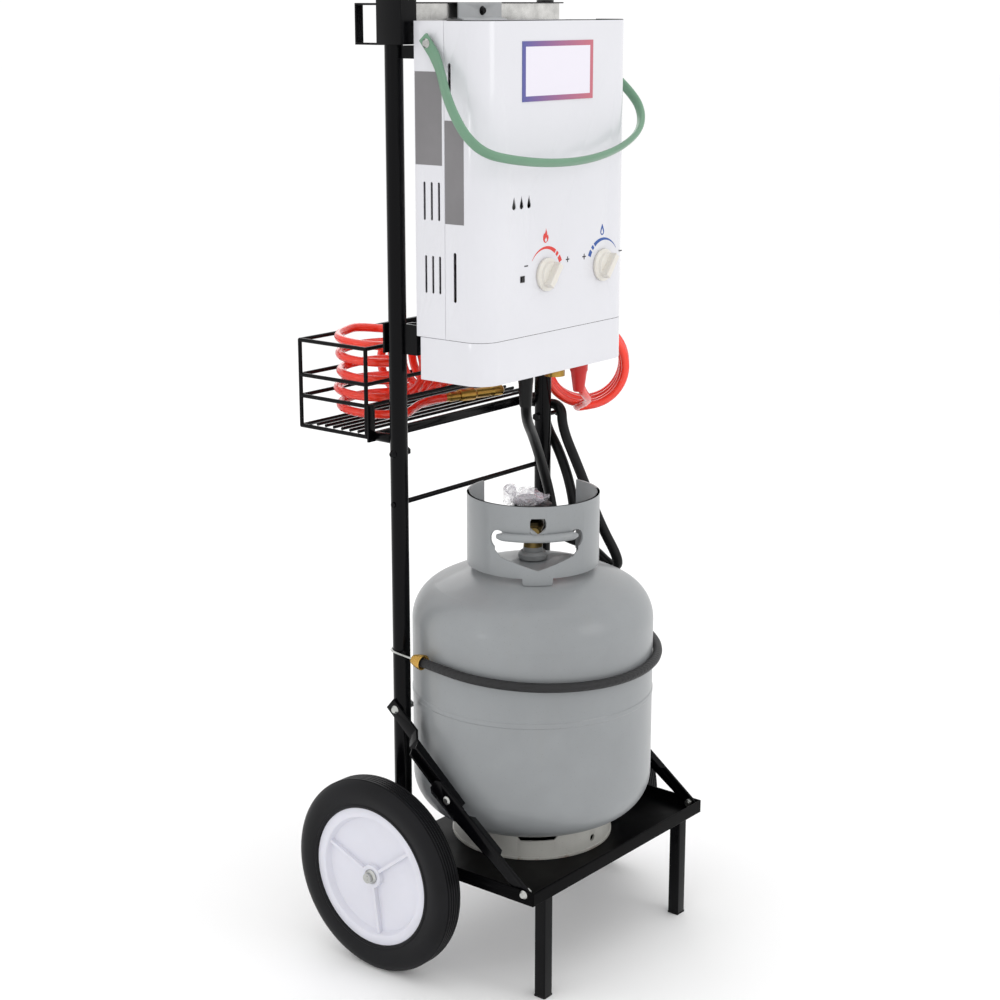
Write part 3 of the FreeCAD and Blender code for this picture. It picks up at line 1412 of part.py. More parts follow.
def strap_cord():
    big, small, turn = strap_geometry()
    on_tank = Vec(big * math.cos(turn), tank_y + big * math.sin(turn), elastic_z)
    on_tube = Vec(-tube_x + small * math.cos(turn), small * math.sin(turn), elastic_z)
    reach = on_tube - on_tank
    reach.normalize()
    start = on_tube - reach * strap_free
    front = Vec(0, tank_y - big, elastic_z)
    mirror_tank = Vec(-on_tank.x, on_tank.y, on_tank.z)
    mirror_start = Vec(-start.x, start.y, start.z)
    path = Part.Wire([Part.LineSegment(start, on_tank).toShape(),
                      Part.Arc(on_tank, front, mirror_tank).toShape(),
                      Part.LineSegment(mirror_tank, mirror_start).toShape()])
    shape = tube_on(path, elastic_r, hose_sides)
    report_tube("strap_cord", path, shape, elastic_r, [big])
    return tilted(shape), start, reach, on_tube


def strap_springs(start, reach):
    """Wound brass cones on the strap's ends."""
    across = AXIS_Z
    side = reach.cross(across)
    pitch = 2 * spring_wire_r + 0.55
    stations = []
    wide = elastic_r + spring_wire_r + free_gap + 1.8
    for step in range(spring_turns * 4 + 1):
        turn = math.pi / 2 * step
        r = wide - (wide - 5.0) * step / (spring_turns * 4)
        around = across * math.cos(turn) + side * math.sin(turn)
        heading = (side * math.cos(turn) - across * math.sin(turn)) * r + reach * (pitch / (2 * math.pi))
        heading.normalize()
        stations.append((start + reach * (pitch * step / 4 - 4.0) + around * r, heading))
    path = path_through(stations)
    print("strap spring least gap to itself", round(least_gap([path], spring_wire_r), 2))
    return both_sides(tilted(tube_on(path, spring_wire_r, 4)))


def strap_hooks(start, reach, on_tube):
    """Wire hooks from the springs round the outside of the uprights."""
    small = tube_r + hook_wire_r + weld_gap
    begin = start + reach * free_gap * 2
    around = []
    turn0 = math.atan2(on_tube.y, on_tube.x + tube_x)
    for degrees in (60, 120):
        turn = turn0 - math.radians(degrees)
        around.append(Vec(-tube_x + small * math.cos(turn), small * math.sin(turn), elastic_z))
    path = Part.Wire([Part.LineSegment(begin, on_tube).toShape(),
                      Part.Arc(on_tube, around[0], around[1]).toShape()])
    return both_sides(tilted(tube_on(path, hook_wire_r, 6)))


# Places that follow from the sizes above
joint_bolt_z = joint_z - joint_bolt_drop
axle_bolt_z = axle_z + 26.0
top_bar_z1 = top_bar_z0 + top_bar_height
hanger_bolt_z = top_bar_z1 - 10.0
lower_bolt_z = lower_bar_z0 + lower_bar_height / 2
standoff_x0 = heater_half - standoff_width
clamp_z1 = top_bar_z1 + 3.0
clamp_z0 = clamp_z1 - clamp_height
clamp_bolt_z = clamp_z0 + 8.0
loop_x0 = -tube_x - loop_width / 2
loop_z1 = clamp_z1 - 4.0
loop_z0 = loop_z1 - loop_height
bush_r = axle_r + bush_wall
hub_front_x = wheel_outer_x - rim_inset - 1.0
hub_back_x = wheel_outer_x - rim_inset - rim_width - 2.0
arm_x0 = tube_outer_x + free_gap
link_x0 = tray_half - tray_t - free_gap - sheet
knuckle_r = tank_r * knuckle_share
crown_r = tank_r * crown_share
tank_top_z = tank_high_z + dome_height(0)
collar_seat_z = tank_high_z + dome_height(collar_r - collar_t)
collar_z0 = collar_seat_z + collar_lift
collar_z1 = collar_z0 + collar_height
window_z0 = collar_z0 + window_lift
window_z1 = window_z0 + window_height
eye_z = collar_z0 + eye_lift
valve_z = tank_top_z + valve_lift
valve_turn = math.radians(collar_front + 180)
valve_way = Vec(math.sin(valve_turn), -math.cos(valve_turn), 0)
regulator_way = Vec(0.703, -0.381, -0.602)
regulator_way.normalize()
regulator_middle = Vec(0, tank_y, valve_z) + valve_way * (valve_reach + weld_gap + regulator_reach)
regulator_end = regulator_middle + regulator_way * regulator_stub
drop_z0 = heater_z1 - drop_drop
drop_z1 = drop_z0 + drop_height
works_half = heater_half - works_side
works_y0 = heater_front_y + works_front
works_y1 = heater_back_y - works_back
exchanger_z1 = heater_z1 - exchanger_drop
exchanger_z0 = exchanger_z1 - exchanger_height
chamber_z0 = exchanger_z0 - chamber_height
burner_z0 = chamber_z0 - burner_height - free_gap
badge_z1 = heater_z1 - badge_drop
badge_z0 = badge_z1 - badge_height
hose_over_peg = joint_bolt_z + bolt_head_r + gas_hose_r
hose_floor_z = basket_z0 + wire_r + weld_gap + 2 * floor_wire_r + free_gap
nozzle_z = hose_floor_z + nozzle_r
basket_middle_y = (basket_front_y + basket_back_y) / 2

gas_hose_route = [
    regulator_end + regulator_way * 0.1,
    regulator_end + regulator_way * 28,
    Vec(153, -76, 489),
    Vec(171, -101, 457),
    Vec(160, -121, 472),
    Vec(157, -88, 521),
    Vec(163, -49, 588),
    Vec(165, -18, 640),
    Vec(166, -16, hose_over_peg),
    Vec(167, 15, hose_over_peg),
    Vec(167, 12, 641),
    Vec(165, -14, 608),
    Vec(156, -42, 560),
    Vec(152, -52, 508),
    Vec(127, -37, 505),
    Vec(124, -30, 556),
    Vec(100, -34, 604),
    Vec(60, -50, 652),
    Vec(18, -72, 682),
    Vec(gas_inlet[0], gas_inlet[1], 708),
    Vec(gas_inlet[0], gas_inlet[1], heater_z0 - fitting_length + 2),
]

bunch_way = Vec(0.78, 0.626, 0)
bunch_way.normalize()
bunch_centre = Vec(202, -39, 720)
run_start = Vec(108, basket_middle_y, nozzle_z + nozzle_r + red_hose_r + 1.0 + run_r)
stack_start = Vec(-104.5, basket_middle_y, hose_floor_z + red_hose_r + 3.0 + stack_pitch * stack_turns)
lead_stations = [(Vec(water_outlet[0], water_outlet[1], heater_z0 - fitting_length), -AXIS_Z),
                 (Vec(148, -70, 694), Vec(0.84, 0.34, -0.42))]
link_stations = [(Vec(189, 64, 764), Vec(-0.87, 0.49, 0.05))]
tail_stations = [(Vec(34, 78, nozzle_z), Vec(0.97, -0.24, 0))]


def build():
    strap, strap_start, strap_reach, strap_on_tube = strap_cord()
    nodes = {
        "lower_uprights": lower_uprights(),
        "upper_uprights": upper_uprights(),
        "tube_caps": tube_caps(),
        "top_bar": top_bar_channel(),
        "top_bar_strip": top_bar_strip(),
        "hanger_plate": hanger_plate(),
        "lower_crossbar": lower_crossbar(),
        "heater_standoffs": heater_standoffs(),
        "hose_hanger": hose_hanger(),
        "frame_bolts": group(cross_rod(), joint_bolts(), hanger_bolt(), crossbar_bolts(),
                             hanger_clamp_bolt(), axle_bolts()),
        "axle": axle(),
        "axle_brackets": axle_brackets(),
        "axle_sleeves": group(axle_spacers(), axle_caps()),
        "tray": tray(),
        "legs": legs(),
        "leg_feet": leg_feet(),
        "brace_arms": both_sides(brace_arm()),
        "brace_links": both_sides(brace_link()),
        "brace_pins": group(brace_pivots(), toggle_rivets()),
        "tank_shell": tank_shell(),
        "tank_collar": group(tank_collar(), collar_grip()),
        "foot_ring": foot_ring(),
        "valve_body": valve_body(),
        "valve_handwheel": valve_handwheel(),
        "valve_film": valve_film(),
        "coupling_nut": coupling_nut(),
        "regulator": regulator(),
        "rear_casing": rear_casing(),
        "front_cover": front_cover(),
        "lower_cover": lower_cover(),
        "top_grille": top_grille(),
        "heater_works": group(combustion_chamber(), heat_exchanger(), burner()),
        "heater_valves": group(gas_valve(), water_valve(), gas_fitting(), water_in_fitting(),
                               water_out_fitting()),
        "ignition_box": ignition_box(),
        "inner_pipes": inner_pipes(),
        "gas_knob": group(knob(gas_knob_x), spindle(gas_knob_x)),
        "water_knob": group(knob(water_knob_x), spindle(water_knob_x)),
        "switch_housing": switch_housing(),
        "switch_slider": switch_slider(),
        "bail_handle": bail_handle(),
        "bail_screws": bail_screws(),
        "badge": badge(),
        "side_labels": side_labels(),
        "basket_rails": basket_rails(),
        "basket_floor": basket_floor(),
        "basket_mounts": group(basket_strap(), basket_spacers(), basket_hooks()),
        "strap_cord": strap,
        "strap_ends": group(strap_springs(strap_start, strap_reach),
                            strap_hooks(strap_start, strap_reach, strap_on_tube)),
        "gas_hose": gas_hose(),
        "nozzle": group(*nozzle_parts())}
    nodes.update(red_hose())
    for name, shape in (("wheel_disc", wheel_disc()), ("tyre", wheel_tyre()), ("wheel_bush", wheel_bush())):
        nodes[name + "_right"] = shape
        nodes[name + "_left"] = mirrored(shape)
    return nodes


def main():
    os.makedirs("parts", exist_ok=True)
    front_reach = tank_y - tank_r - free_gap - 2 * elastic_r
    back_reach = basket_back_y + wire_r
    shift = Vec(0, -(front_reach + back_reach) / 2, 0)
    print("moved back by", round(shift.y, 3))
    for name, shape in build().items():
        placed = shape.copy()
        placed.translate(shift)
        placed.exportStep("parts/" + name + ".step")


main()
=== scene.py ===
import logging
import math
from dataclasses import dataclass, field
from enum import Enum
from typing import Callable, Iterable, Mapping, Optional, Sequence

import bmesh
import bpy
from mathutils import Matrix, Vector


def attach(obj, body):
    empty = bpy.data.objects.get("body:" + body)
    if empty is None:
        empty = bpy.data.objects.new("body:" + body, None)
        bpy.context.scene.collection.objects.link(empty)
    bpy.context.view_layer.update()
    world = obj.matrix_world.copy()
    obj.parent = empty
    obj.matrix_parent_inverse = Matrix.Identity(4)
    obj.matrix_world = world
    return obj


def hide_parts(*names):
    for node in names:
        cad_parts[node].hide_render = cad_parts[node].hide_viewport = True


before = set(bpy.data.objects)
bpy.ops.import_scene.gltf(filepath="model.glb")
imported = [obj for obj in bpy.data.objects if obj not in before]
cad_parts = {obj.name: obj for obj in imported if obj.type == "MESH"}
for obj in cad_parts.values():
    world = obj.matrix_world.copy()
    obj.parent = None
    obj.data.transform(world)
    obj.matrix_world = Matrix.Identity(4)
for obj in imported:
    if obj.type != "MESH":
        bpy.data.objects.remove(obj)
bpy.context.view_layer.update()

log = logging.getLogger("water_heater_cart")
logging.basicConfig(level=logging.INFO, format="%(name)s %(message)s")

BACK = 0.05365  # the source's Y = 0, between the uprights, lies this far behind the origin
Point = tuple[float, float, float]


def place(x: float, y: float, z: float) -> Vector:
    """Turn a place on the source's drawing, in millimetres, into the frame's metres.

    Args:
        x: Millimetres to the right of the middle plane.
        y: Millimetres behind the uprights' axes.
        z: Millimetres above the ground.

    Returns:
        The same place in metres, measured from the frame's origin.
    """
    return Vector((x / 1000, y / 1000 + BACK, z / 1000))


def linear(code: str) -> tuple[float, float, float, float]:
    """Turn an sRGB hex colour into linear light.

    Args:
        code: Six hex digits, with or without a leading hash.

    Returns:
        Red, green, blue and a full alpha.
    """
    code = code.lstrip("#")
    parts = [int(code[i:i + 2], 16) / 255 for i in (0, 2, 4)]
    red, green, blue = (c / 12.92 if c <= 0.04045 else ((c + 0.055) / 1.055) ** 2.4 for c in parts)
    return red, green, blue, 1.0


def add(tree: bpy.types.NodeTree, kind: str, inputs: Optional[Mapping] = None,
        stops: Sequence = (), **settings) -> bpy.types.Node:
    """Add a shader node with its settings and links.

    Args:
        tree: The node tree.
        kind: The node's type name.
        inputs: Values or output sockets, by input name or number.
        stops: Colour ramp stops, as pairs of position and colour.
        **settings: Properties of the node.

    Returns:
        The new node.
    """
    node = tree.nodes.new(kind)
    for name, value in settings.items():
        setattr(node, name, value)
    for index, (position, colour) in enumerate(stops):
        ramp = node.color_ramp.elements
        stop = ramp[index] if index < 2 else ramp.new(position)
        stop.position, stop.color = position, colour
    for name, value in (inputs or {}).items():
        if isinstance(value, bpy.types.NodeSocket):
            tree.links.new(value, node.inputs[name])
        else:
            node.inputs[name].default_value = value
    return node


# Finishes


@dataclass(frozen=True)
class Finish:
    """A surface finish that makes one material."""

    name: str
    colour: str
    roughness: float = 0.4
    uneven: float = 0.08
    grain_mm: float = 1.5
    relief_mm: float = 0.02

    def material(self) -> bpy.types.Material:
        """Make the material, or give the one already made.

        Returns:
            The material.
        """
        made = bpy.data.materials.get(self.name)
        if made is not None:
            return made
        made = bpy.data.materials.new(self.name)
        made.use_nodes = True
        made.diffuse_color = linear(self.colour)
        tree = made.node_tree
        tree.nodes.clear()
        coords = add(tree, "ShaderNodeTexCoord")
        shader = add(tree, "ShaderNodeBsdfPrincipled",
                     {"Base Color": linear(self.colour), "Roughness": self.roughness})
        add(tree, "ShaderNodeOutputMaterial", {"Surface": shader.outputs["BSDF"]})
        self.wire(tree, coords, shader)
        return made

    def wire(self, tree: bpy.types.NodeTree, coords: bpy.types.Node, shader: bpy.types.Node) -> None:
        """Add the finish's own pattern between the coordinates and the shader.

        Args:
            tree: The material's node tree.
            coords: The Texture Coordinate node.
            shader: The Principled shader.
        """
        grain = add(tree, "ShaderNodeTexNoise", {"Vector": coords.outputs["Object"],
                    "Scale": 1000 / self.grain_mm, "Detail": 3.0, "Roughness": 0.6})
        clouds = add(tree, "ShaderNodeTexNoise", {"Vector": coords.outputs["Object"], "Scale": 9.0,
                     "Detail": 4.0, "Roughness": 0.6})
        self.shade(tree, coords, shader, grain, clouds)
        bump = add(tree, "ShaderNodeBump", {"Height": grain.outputs["Fac"],
                   "Distance": self.relief_mm / 1000, "Strength": 0.6})
        tree.links.new(bump.outputs["Normal"], shader.inputs["Normal"])

    def shade(self, tree: bpy.types.NodeTree, coords: bpy.types.Node, shader: bpy.types.Node,
              grain: bpy.types.Node, clouds: bpy.types.Node) -> None:
        """Vary colour and roughness from the grain and the clouds.

        Args:
            tree: The material's node tree.
            coords: The Texture Coordinate node.
            shader: The Principled shader.
            grain: The fine noise.
            clouds: The broad noise.
        """
        base = linear(self.colour)
        dark = tuple(c * (1 - self.uneven * 2.2) for c in base[:3]) + (1.0,)
        light = tuple(min(1.0, c * (1 + self.uneven)) for c in base[:3]) + (1.0,)
        tone = add(tree, "ShaderNodeValToRGB", {"Fac": clouds.outputs["Fac"]},
                   stops=((0.25, dark), (0.75, light)))
        tree.links.new(tone.outputs["Color"], shader.inputs["Base Color"])
        spread = add(tree, "ShaderNodeMapRange", {"Value": clouds.outputs["Fac"], "From Min": 0.3,
                     "From Max": 0.7, "To Min": self.roughness * 0.85, "To Max": self.roughness * 1.2})
        tree.links.new(spread.outputs["Result"], shader.inputs["Roughness"])


@dataclass(frozen=True)
class Enamel(Finish):
    """Baked enamel or powder coat: a smooth skin over steel with a faint orange peel."""

    coat: float = 0.5
    gloss: float = 0.5

    def wire(self, tree: bpy.types.NodeTree, coords: bpy.types.Node, shader: bpy.types.Node) -> None:
        """Add a clear gloss over the common pattern.

        Args:
            tree: The material's node tree.
            coords: The Texture Coordinate node.
            shader: The Principled shader.
        """
        super().wire(tree, coords, shader)
        shader.inputs["Coat Weight"].default_value = self.coat
        shader.inputs["Coat Roughness"].default_value = 0.06
        shader.inputs["Specular IOR Level"].default_value = self.gloss


@dataclass(frozen=True)
class TankPaint(Enamel):
    """Cylinder paint that has stood outdoors: pin specks, faint runs and rust low down."""

    rust_top: float = 0.0
    rust: str = "7a4a2c"
    speck: str = "7b7c78"

    def shade(self, tree: bpy.types.NodeTree, coords: bpy.types.Node, shader: bpy.types.Node,
              grain: bpy.types.Node, clouds: bpy.types.Node) -> None:
        """Add specks, runs and a rusty lower edge over the common tone.

        Args:
            tree: The material's node tree.
            coords: The Texture Coordinate node.
            shader: The Principled shader.
            grain: The fine noise.
            clouds: The broad noise.
        """
        super().shade(tree, coords, shader, grain, clouds)
        tone = shader.inputs["Base Color"].links[0].from_socket
        pits = add(tree, "ShaderNodeTexVoronoi", {"Vector": coords.outputs["Object"], "Scale": 210.0,
                   "Randomness": 1.0})
        pin = add(tree, "ShaderNodeMapRange", {"Value": pits.outputs["Distance"], "From Min": 0.06,
                  "From Max": 0.16, "To Min": 0.4, "To Max": 0.0})
        mix = add(tree, "ShaderNodeMix", {0: pin.outputs["Result"], 6: tone, 7: linear(self.speck)},
                  data_type="RGBA")
        stretch = add(tree, "ShaderNodeMapping", {"Vector": coords.outputs["Object"],
                      "Scale": (38.0, 38.0, 4.0)})
        runs = add(tree, "ShaderNodeTexNoise", {"Vector": stretch.outputs["Vector"], "Scale": 1.0,
                   "Detail": 3.0})
        run = add(tree, "ShaderNodeMapRange", {"Value": runs.outputs["Fac"], "From Min": 0.58,
                  "From Max": 0.78, "To Min": 0.0, "To Max": 0.16})
        streaked = add(tree, "ShaderNodeMix", {0: run.outputs["Result"], 6: mix.outputs[2],
                       7: linear("8b8a84")}, data_type="RGBA")
        split = add(tree, "ShaderNodeSeparateXYZ", {"Vector": coords.outputs["Object"]})
        wear = add(tree, "ShaderNodeTexNoise", {"Vector": coords.outputs["Object"], "Scale": 70.0,
                   "Detail": 6.0, "Roughness": 0.7})
        height = add(tree, "ShaderNodeMath", {0: wear.outputs["Fac"], 1: 0.030,
                     2: split.outputs["Z"]}, operation="MULTIPLY_ADD")
        rusty = add(tree, "ShaderNodeMapRange", {"Value": height.outputs["Value"],
                    "From Min": self.rust_top + 0.012, "From Max": self.rust_top + 0.018,
                    "To Min": 0.85, "To Max": 0.0})
        final = add(tree, "ShaderNodeMix", {0: rusty.outputs["Result"], 6: streaked.outputs[2],
                    7: linear(self.rust)}, data_type="RGBA")
        tree.links.new(final.outputs[2], shader.inputs["Base Color"])


class Grain(Enum):
    """How a metal's surface was left."""

    DRAWN = (1.0, 1.0, 0.04)
    TURNED = (0.05, 1.0, 1.0)
    CAST = (1.0, 1.0, 1.0)


@dataclass(frozen=True)
class Metal(Finish):
    """Bare or plated metal with the marks of drawing, turning or casting."""

    grain: Grain = Grain.CAST

    def wire(self, tree: bpy.types.NodeTree, coords: bpy.types.Node, shader: bpy.types.Node) -> None:
        """Stretch the grain along the tool's path and make the shader metallic.

        Args:
            tree: The material's node tree.
            coords: The Texture Coordinate node.
            shader: The Principled shader.
        """
        shader.inputs["Metallic"].default_value = 1.0
        stretch = add(tree, "ShaderNodeMapping", {"Vector": coords.outputs["Object"],
                      "Scale": self.grain.value})
        marks = add(tree, "ShaderNodeTexNoise", {"Vector": stretch.outputs["Vector"],
                    "Scale": 1000 / self.grain_mm, "Detail": 3.0})
        clouds = add(tree, "ShaderNodeTexNoise", {"Vector": coords.outputs["Object"], "Scale": 60.0,
                     "Detail": 4.0})
        self.shade(tree, coords, shader, marks, clouds)
        bump = add(tree, "ShaderNodeBump", {"Height": marks.outputs["Fac"],
                   "Distance": self.relief_mm / 1000, "Strength": 0.5})
        tree.links.new(bump.outputs["Normal"], shader.inputs["Normal"])


@dataclass(frozen=True)
class Moulded(Finish):
    """Injection-moulded plastic: even colour, fine spark-eroded grain, light that sinks in a little."""

    sink: float = 0.0

    def wire(self, tree: bpy.types.NodeTree, coords: bpy.types.Node, shader: bpy.types.Node) -> None:
        """Let a little light sink into the common pattern.

        Args:
            tree: The material's node tree.
            coords: The Texture Coordinate node.
            shader: The Principled shader.
        """
        super().wire(tree, coords, shader)
        shader.inputs["Subsurface Weight"].default_value = self.sink
        shader.inputs["Subsurface Radius"].default_value = (0.003, 0.0025, 0.002)
        shader.inputs["Subsurface Scale"].default_value = 1.0


@dataclass(frozen=True)
class Rubber(Finish):
    """Vulcanised rubber with a dusty bloom on its high spots."""

    bloom: str = "3a3a3c"

    def shade(self, tree: bpy.types.NodeTree, coords: bpy.types.Node, shader: bpy.types.Node,
              grain: bpy.types.Node, clouds: bpy.types.Node) -> None:
        """Lay a grey bloom over the black and keep the surface dull.

        Args:
            tree: The material's node tree.
            coords: The Texture Coordinate node.
            shader: The Principled shader.
            grain: The fine noise.
            clouds: The broad noise.
        """
        tone = add(tree, "ShaderNodeValToRGB", {"Fac": clouds.outputs["Fac"]},
                   stops=((0.45, linear(self.colour)), (0.85, linear(self.bloom))))
        tree.links.new(tone.outputs["Color"], shader.inputs["Base Color"])
        dull = add(tree, "ShaderNodeMapRange", {"Value": clouds.outputs["Fac"], "From Min": 0.3,
                   "From Max": 0.8, "To Min": self.roughness * 0.9, "To Max": self.roughness * 1.2})
        shader.inputs["Specular IOR Level"].default_value = 0.18
        tree.links.new(dull.outputs["Result"], shader.inputs["Roughness"])


@dataclass(frozen=True)
class ClearHose(Finish):
    """Coloured polyurethane: light sinks in and glows, with wet-looking highlights."""

    deep: str = "d2160f"

    def wire(self, tree: bpy.types.NodeTree, coords: bpy.types.Node, shader: bpy.types.Node) -> None:
        """Darken the colour towards the rim and let part of the light sink in.

        Args:
            tree: The material's node tree.
            coords: The Texture Coordinate node.
            shader: The Principled shader.
        """
        edge = add(tree, "ShaderNodeLayerWeight", {"Blend": 0.42})
        tone = add(tree, "ShaderNodeValToRGB", {"Fac": edge.outputs["Facing"]},
                   stops=((0.0, linear(self.colour)), (0.85, linear(self.deep))))
        tree.links.new(tone.outputs["Color"], shader.inputs["Base Color"])
        shader.inputs["IOR"].default_value = 1.5
        shader.inputs["Subsurface Weight"].default_value = 0.25
        shader.inputs["Subsurface Radius"].default_value = (0.006, 0.0015, 0.001)
        shader.inputs["Subsurface Scale"].default_value = 1.0
        shader.inputs["Coat Weight"].default_value = 0.4
        shader.inputs["Coat Roughness"].default_value = 0.08


@dataclass(frozen=True)
class Bossed(Metal):
    """Brass above the painted boss that is welded in the cylinder's crown, with painted shade on the brass
    under the handwheel.
    """

    paint: str = "8b8d8e"
    # painted shade: the colour the brass darkens to under the handwheel
    painted_shade: str = "1d1a14"
    boss_top: float = 0.5255

    def shade(self, tree: bpy.types.NodeTree, coords: bpy.types.Node, shader: bpy.types.Node,
              grain: bpy.types.Node, clouds: bpy.types.Node) -> None:
        """Paint the boss, leave the valve bare and paint shade on the brass under the handwheel.

        Args:
            tree: The material's node tree.
            coords: The Texture Coordinate node.
            shader: The Principled shader.
            grain: The fine noise.
            clouds: The broad noise.
        """
        super().shade(tree, coords, shader, grain, clouds)
        bare_tone = shader.inputs["Base Color"].links[0].from_socket
        split = add(tree, "ShaderNodeSeparateXYZ", {"Vector": coords.outputs["Object"]})
        bare = add(tree, "ShaderNodeMath", {0: split.outputs["Z"], 1: self.boss_top},
                   operation="GREATER_THAN")
        # painted shade: the brass darkens from 551 to 556 mm up, under the handwheel
        shaded = add(tree, "ShaderNodeMapRange", {"Value": split.outputs["Z"], "From Min": 0.551,
                     "From Max": 0.556, "To Min": 0.0, "To Max": 0.9})
        painted_shade = add(tree, "ShaderNodeMix", {0: shaded.outputs["Result"], 6: bare_tone,
                      7: linear(self.painted_shade)}, data_type="RGBA")
        mix = add(tree, "ShaderNodeMix", {0: bare.outputs["Value"], 6: linear(self.paint),
                  7: painted_shade.outputs[2]}, data_type="RGBA")
        tree.links.new(mix.outputs[2], shader.inputs["Base Color"])
        tree.links.new(bare.outputs["Value"], shader.inputs["Metallic"])


@dataclass(frozen=True)
class ClearFilm(Finish):
    """Thin clear polyethylene, crumpled: mostly highlights, milky in its folds."""

    def wire(self, tree: bpy.types.NodeTree, coords: bpy.types.Node, shader: bpy.types.Node) -> None:
        """Crease the film and make it nearly clear.

        Args:
            tree: The material's node tree.
            coords: The Texture Coordinate node.
            shader: The Principled shader.
        """
        creases = add(tree, "ShaderNodeTexVoronoi", {"Vector": coords.outputs["Object"], "Scale": 90.0},
                      feature="DISTANCE_TO_EDGE")
        folds = add(tree, "ShaderNodeTexNoise", {"Vector": coords.outputs["Object"], "Scale": 75.0,
                    "Detail": 2.0, "Distortion": 1.5})
        both = add(tree, "ShaderNodeMath", {0: creases.outputs["Distance"], 1: folds.outputs["Fac"]},
                   operation="ADD")
        bump = add(tree, "ShaderNodeBump", {"Height": both.outputs["Value"], "Distance": 0.0012,
                   "Strength": 0.9})
        tree.links.new(bump.outputs["Normal"], shader.inputs["Normal"])
        milk = add(tree, "ShaderNodeMapRange", {"Value": folds.outputs["Fac"], "From Min": 0.4,
                   "From Max": 0.7, "To Min": 0.06, "To Max": 0.6})
        tree.links.new(milk.outputs["Result"], shader.inputs["Alpha"])
        shader.inputs["Coat Weight"].default_value = 1.0
        shader.inputs["Coat Roughness"].default_value = 0.04


@dataclass(frozen=True)
class Braid(Finish):
    """Plaited textile cover on an elastic cord: fine crossed yarns, about 2 mm apart."""

    picks: float = 75.0

    def wire(self, tree: bpy.types.NodeTree, coords: bpy.types.Node, shader: bpy.types.Node) -> None:
        """Cross two slanted wave patterns for the yarns, with painted shade in the grooves between them.

        Args:
            tree: The material's node tree.
            coords: The Texture Coordinate node.
            shader: The Principled shader.
        """
        waves = []
        for flip in (1.0, -1.0):
            turned = add(tree, "ShaderNodeMapping", {"Vector": coords.outputs["Object"],
                         "Scale": (self.picks, self.picks, flip * self.picks)})
            waves.append(add(tree, "ShaderNodeTexWave", {"Vector": turned.outputs["Vector"],
                             "Scale": 1.0}, wave_type="BANDS", bands_direction="DIAGONAL"))
        high = add(tree, "ShaderNodeMath", {0: waves[0].outputs["Fac"], 1: waves[1].outputs["Fac"]},
                   operation="MAXIMUM")
        bump = add(tree, "ShaderNodeBump", {"Height": high.outputs["Value"], "Distance": 0.0004,
                   "Strength": 0.8})
        tree.links.new(bump.outputs["Normal"], shader.inputs["Normal"])
        # painted shade: near black in the low grooves between the yarns
        tone = add(tree, "ShaderNodeValToRGB", {"Fac": high.outputs["Value"]},
                   stops=((0.0, linear("050506")), (1.0, linear(self.colour))))
        tree.links.new(tone.outputs["Color"], shader.inputs["Base Color"])
        shader.inputs["Sheen Weight"].default_value = 0.05


@dataclass(frozen=True)
class PrintedPlate(Finish):
    """A pale printed plate in a coloured frame that fades from blue at the left to red at the right."""

    centre: Point = (0.0, 0.0, 0.0)
    half_x: float = 0.07
    half_z: float = 0.03
    frame_mm: float = 2.2

    def wire(self, tree: bpy.types.NodeTree, coords: bpy.types.Node, shader: bpy.types.Node) -> None:
        """Draw the frame from the distance to the plate's edge.

        Args:
            tree: The material's node tree.
            coords: The Texture Coordinate node.
            shader: The Principled shader.
        """
        centred = add(tree, "ShaderNodeMapping", {"Vector": coords.outputs["Object"],
                      "Location": tuple(-c for c in self.centre)})
        split = add(tree, "ShaderNodeSeparateXYZ", {"Vector": centred.outputs["Vector"]})
        inset = []
        for axis, half in (("X", self.half_x), ("Z", self.half_z)):
            size = add(tree, "ShaderNodeMath", {0: split.outputs[axis]}, operation="ABSOLUTE")
            inset.append(add(tree, "ShaderNodeMath", {0: half, 1: size.outputs["Value"]},
                             operation="SUBTRACT"))
        near = add(tree, "ShaderNodeMath", {0: inset[0].outputs["Value"], 1: inset[1].outputs["Value"]},
                   operation="MINIMUM")
        line = add(tree, "ShaderNodeValToRGB", {"Fac": add(tree, "ShaderNodeMapRange", {
            "Value": near.outputs["Value"], "From Min": 0.0, "From Max": 0.01}).outputs["Result"]},
            stops=((0.0, linear("000000")), (self.frame_mm / 10, linear("ffffff"))))
        line.color_ramp.interpolation = "CONSTANT"
        fade = add(tree, "ShaderNodeValToRGB", {"Fac": add(tree, "ShaderNodeMapRange", {
            "Value": split.outputs["X"], "From Min": -self.half_x, "From Max": self.half_x}
            ).outputs["Result"]}, stops=((0.0, linear("444a96")), (1.0, linear("c0606e"))))
        mix = add(tree, "ShaderNodeMix", {0: line.outputs["Color"], 6: fade.outputs["Color"],
                  7: linear(self.colour)}, data_type="RGBA")
        tree.links.new(mix.outputs[2], shader.inputs["Base Color"])
        shader.inputs["Coat Weight"].default_value = 0.4


# Gloss black stove enamel on the cart: near black, deep reflections, a faint peel.
BLACK_ENAMEL = Enamel("Gloss black stove enamel on steel", "050507", 0.2, 0.1, 2.4, 0.012, 0.0, 0.12)
# The tray's enamel: the same black, worn duller by what stands on it.
TRAY_ENAMEL = Enamel("Dulled black enamel on the tray", "040405", 0.4, 0.1, 2.4, 0.012, 0.0, 0.04)
# Zinc plate on fasteners: cool light grey metal, cloudy.
ZINC = Metal("Zinc-plated steel", "c3c4c1", 0.3, 0.16, 0.8, 0.01, Grain.CAST)
# Bright drawn strip inside the top bar.
BRIGHT_STRIP = Metal("Bright drawn steel strip", "d6d5d2", 0.2, 0.14, 0.7, 0.01, Grain.TURNED)
# Satin light grey paint on the heater's hanger and the regulator.
GREY_PAINT = Enamel("Satin light grey paint", "a9abad", 0.42, 0.08, 1.6, 0.02, 0.1)
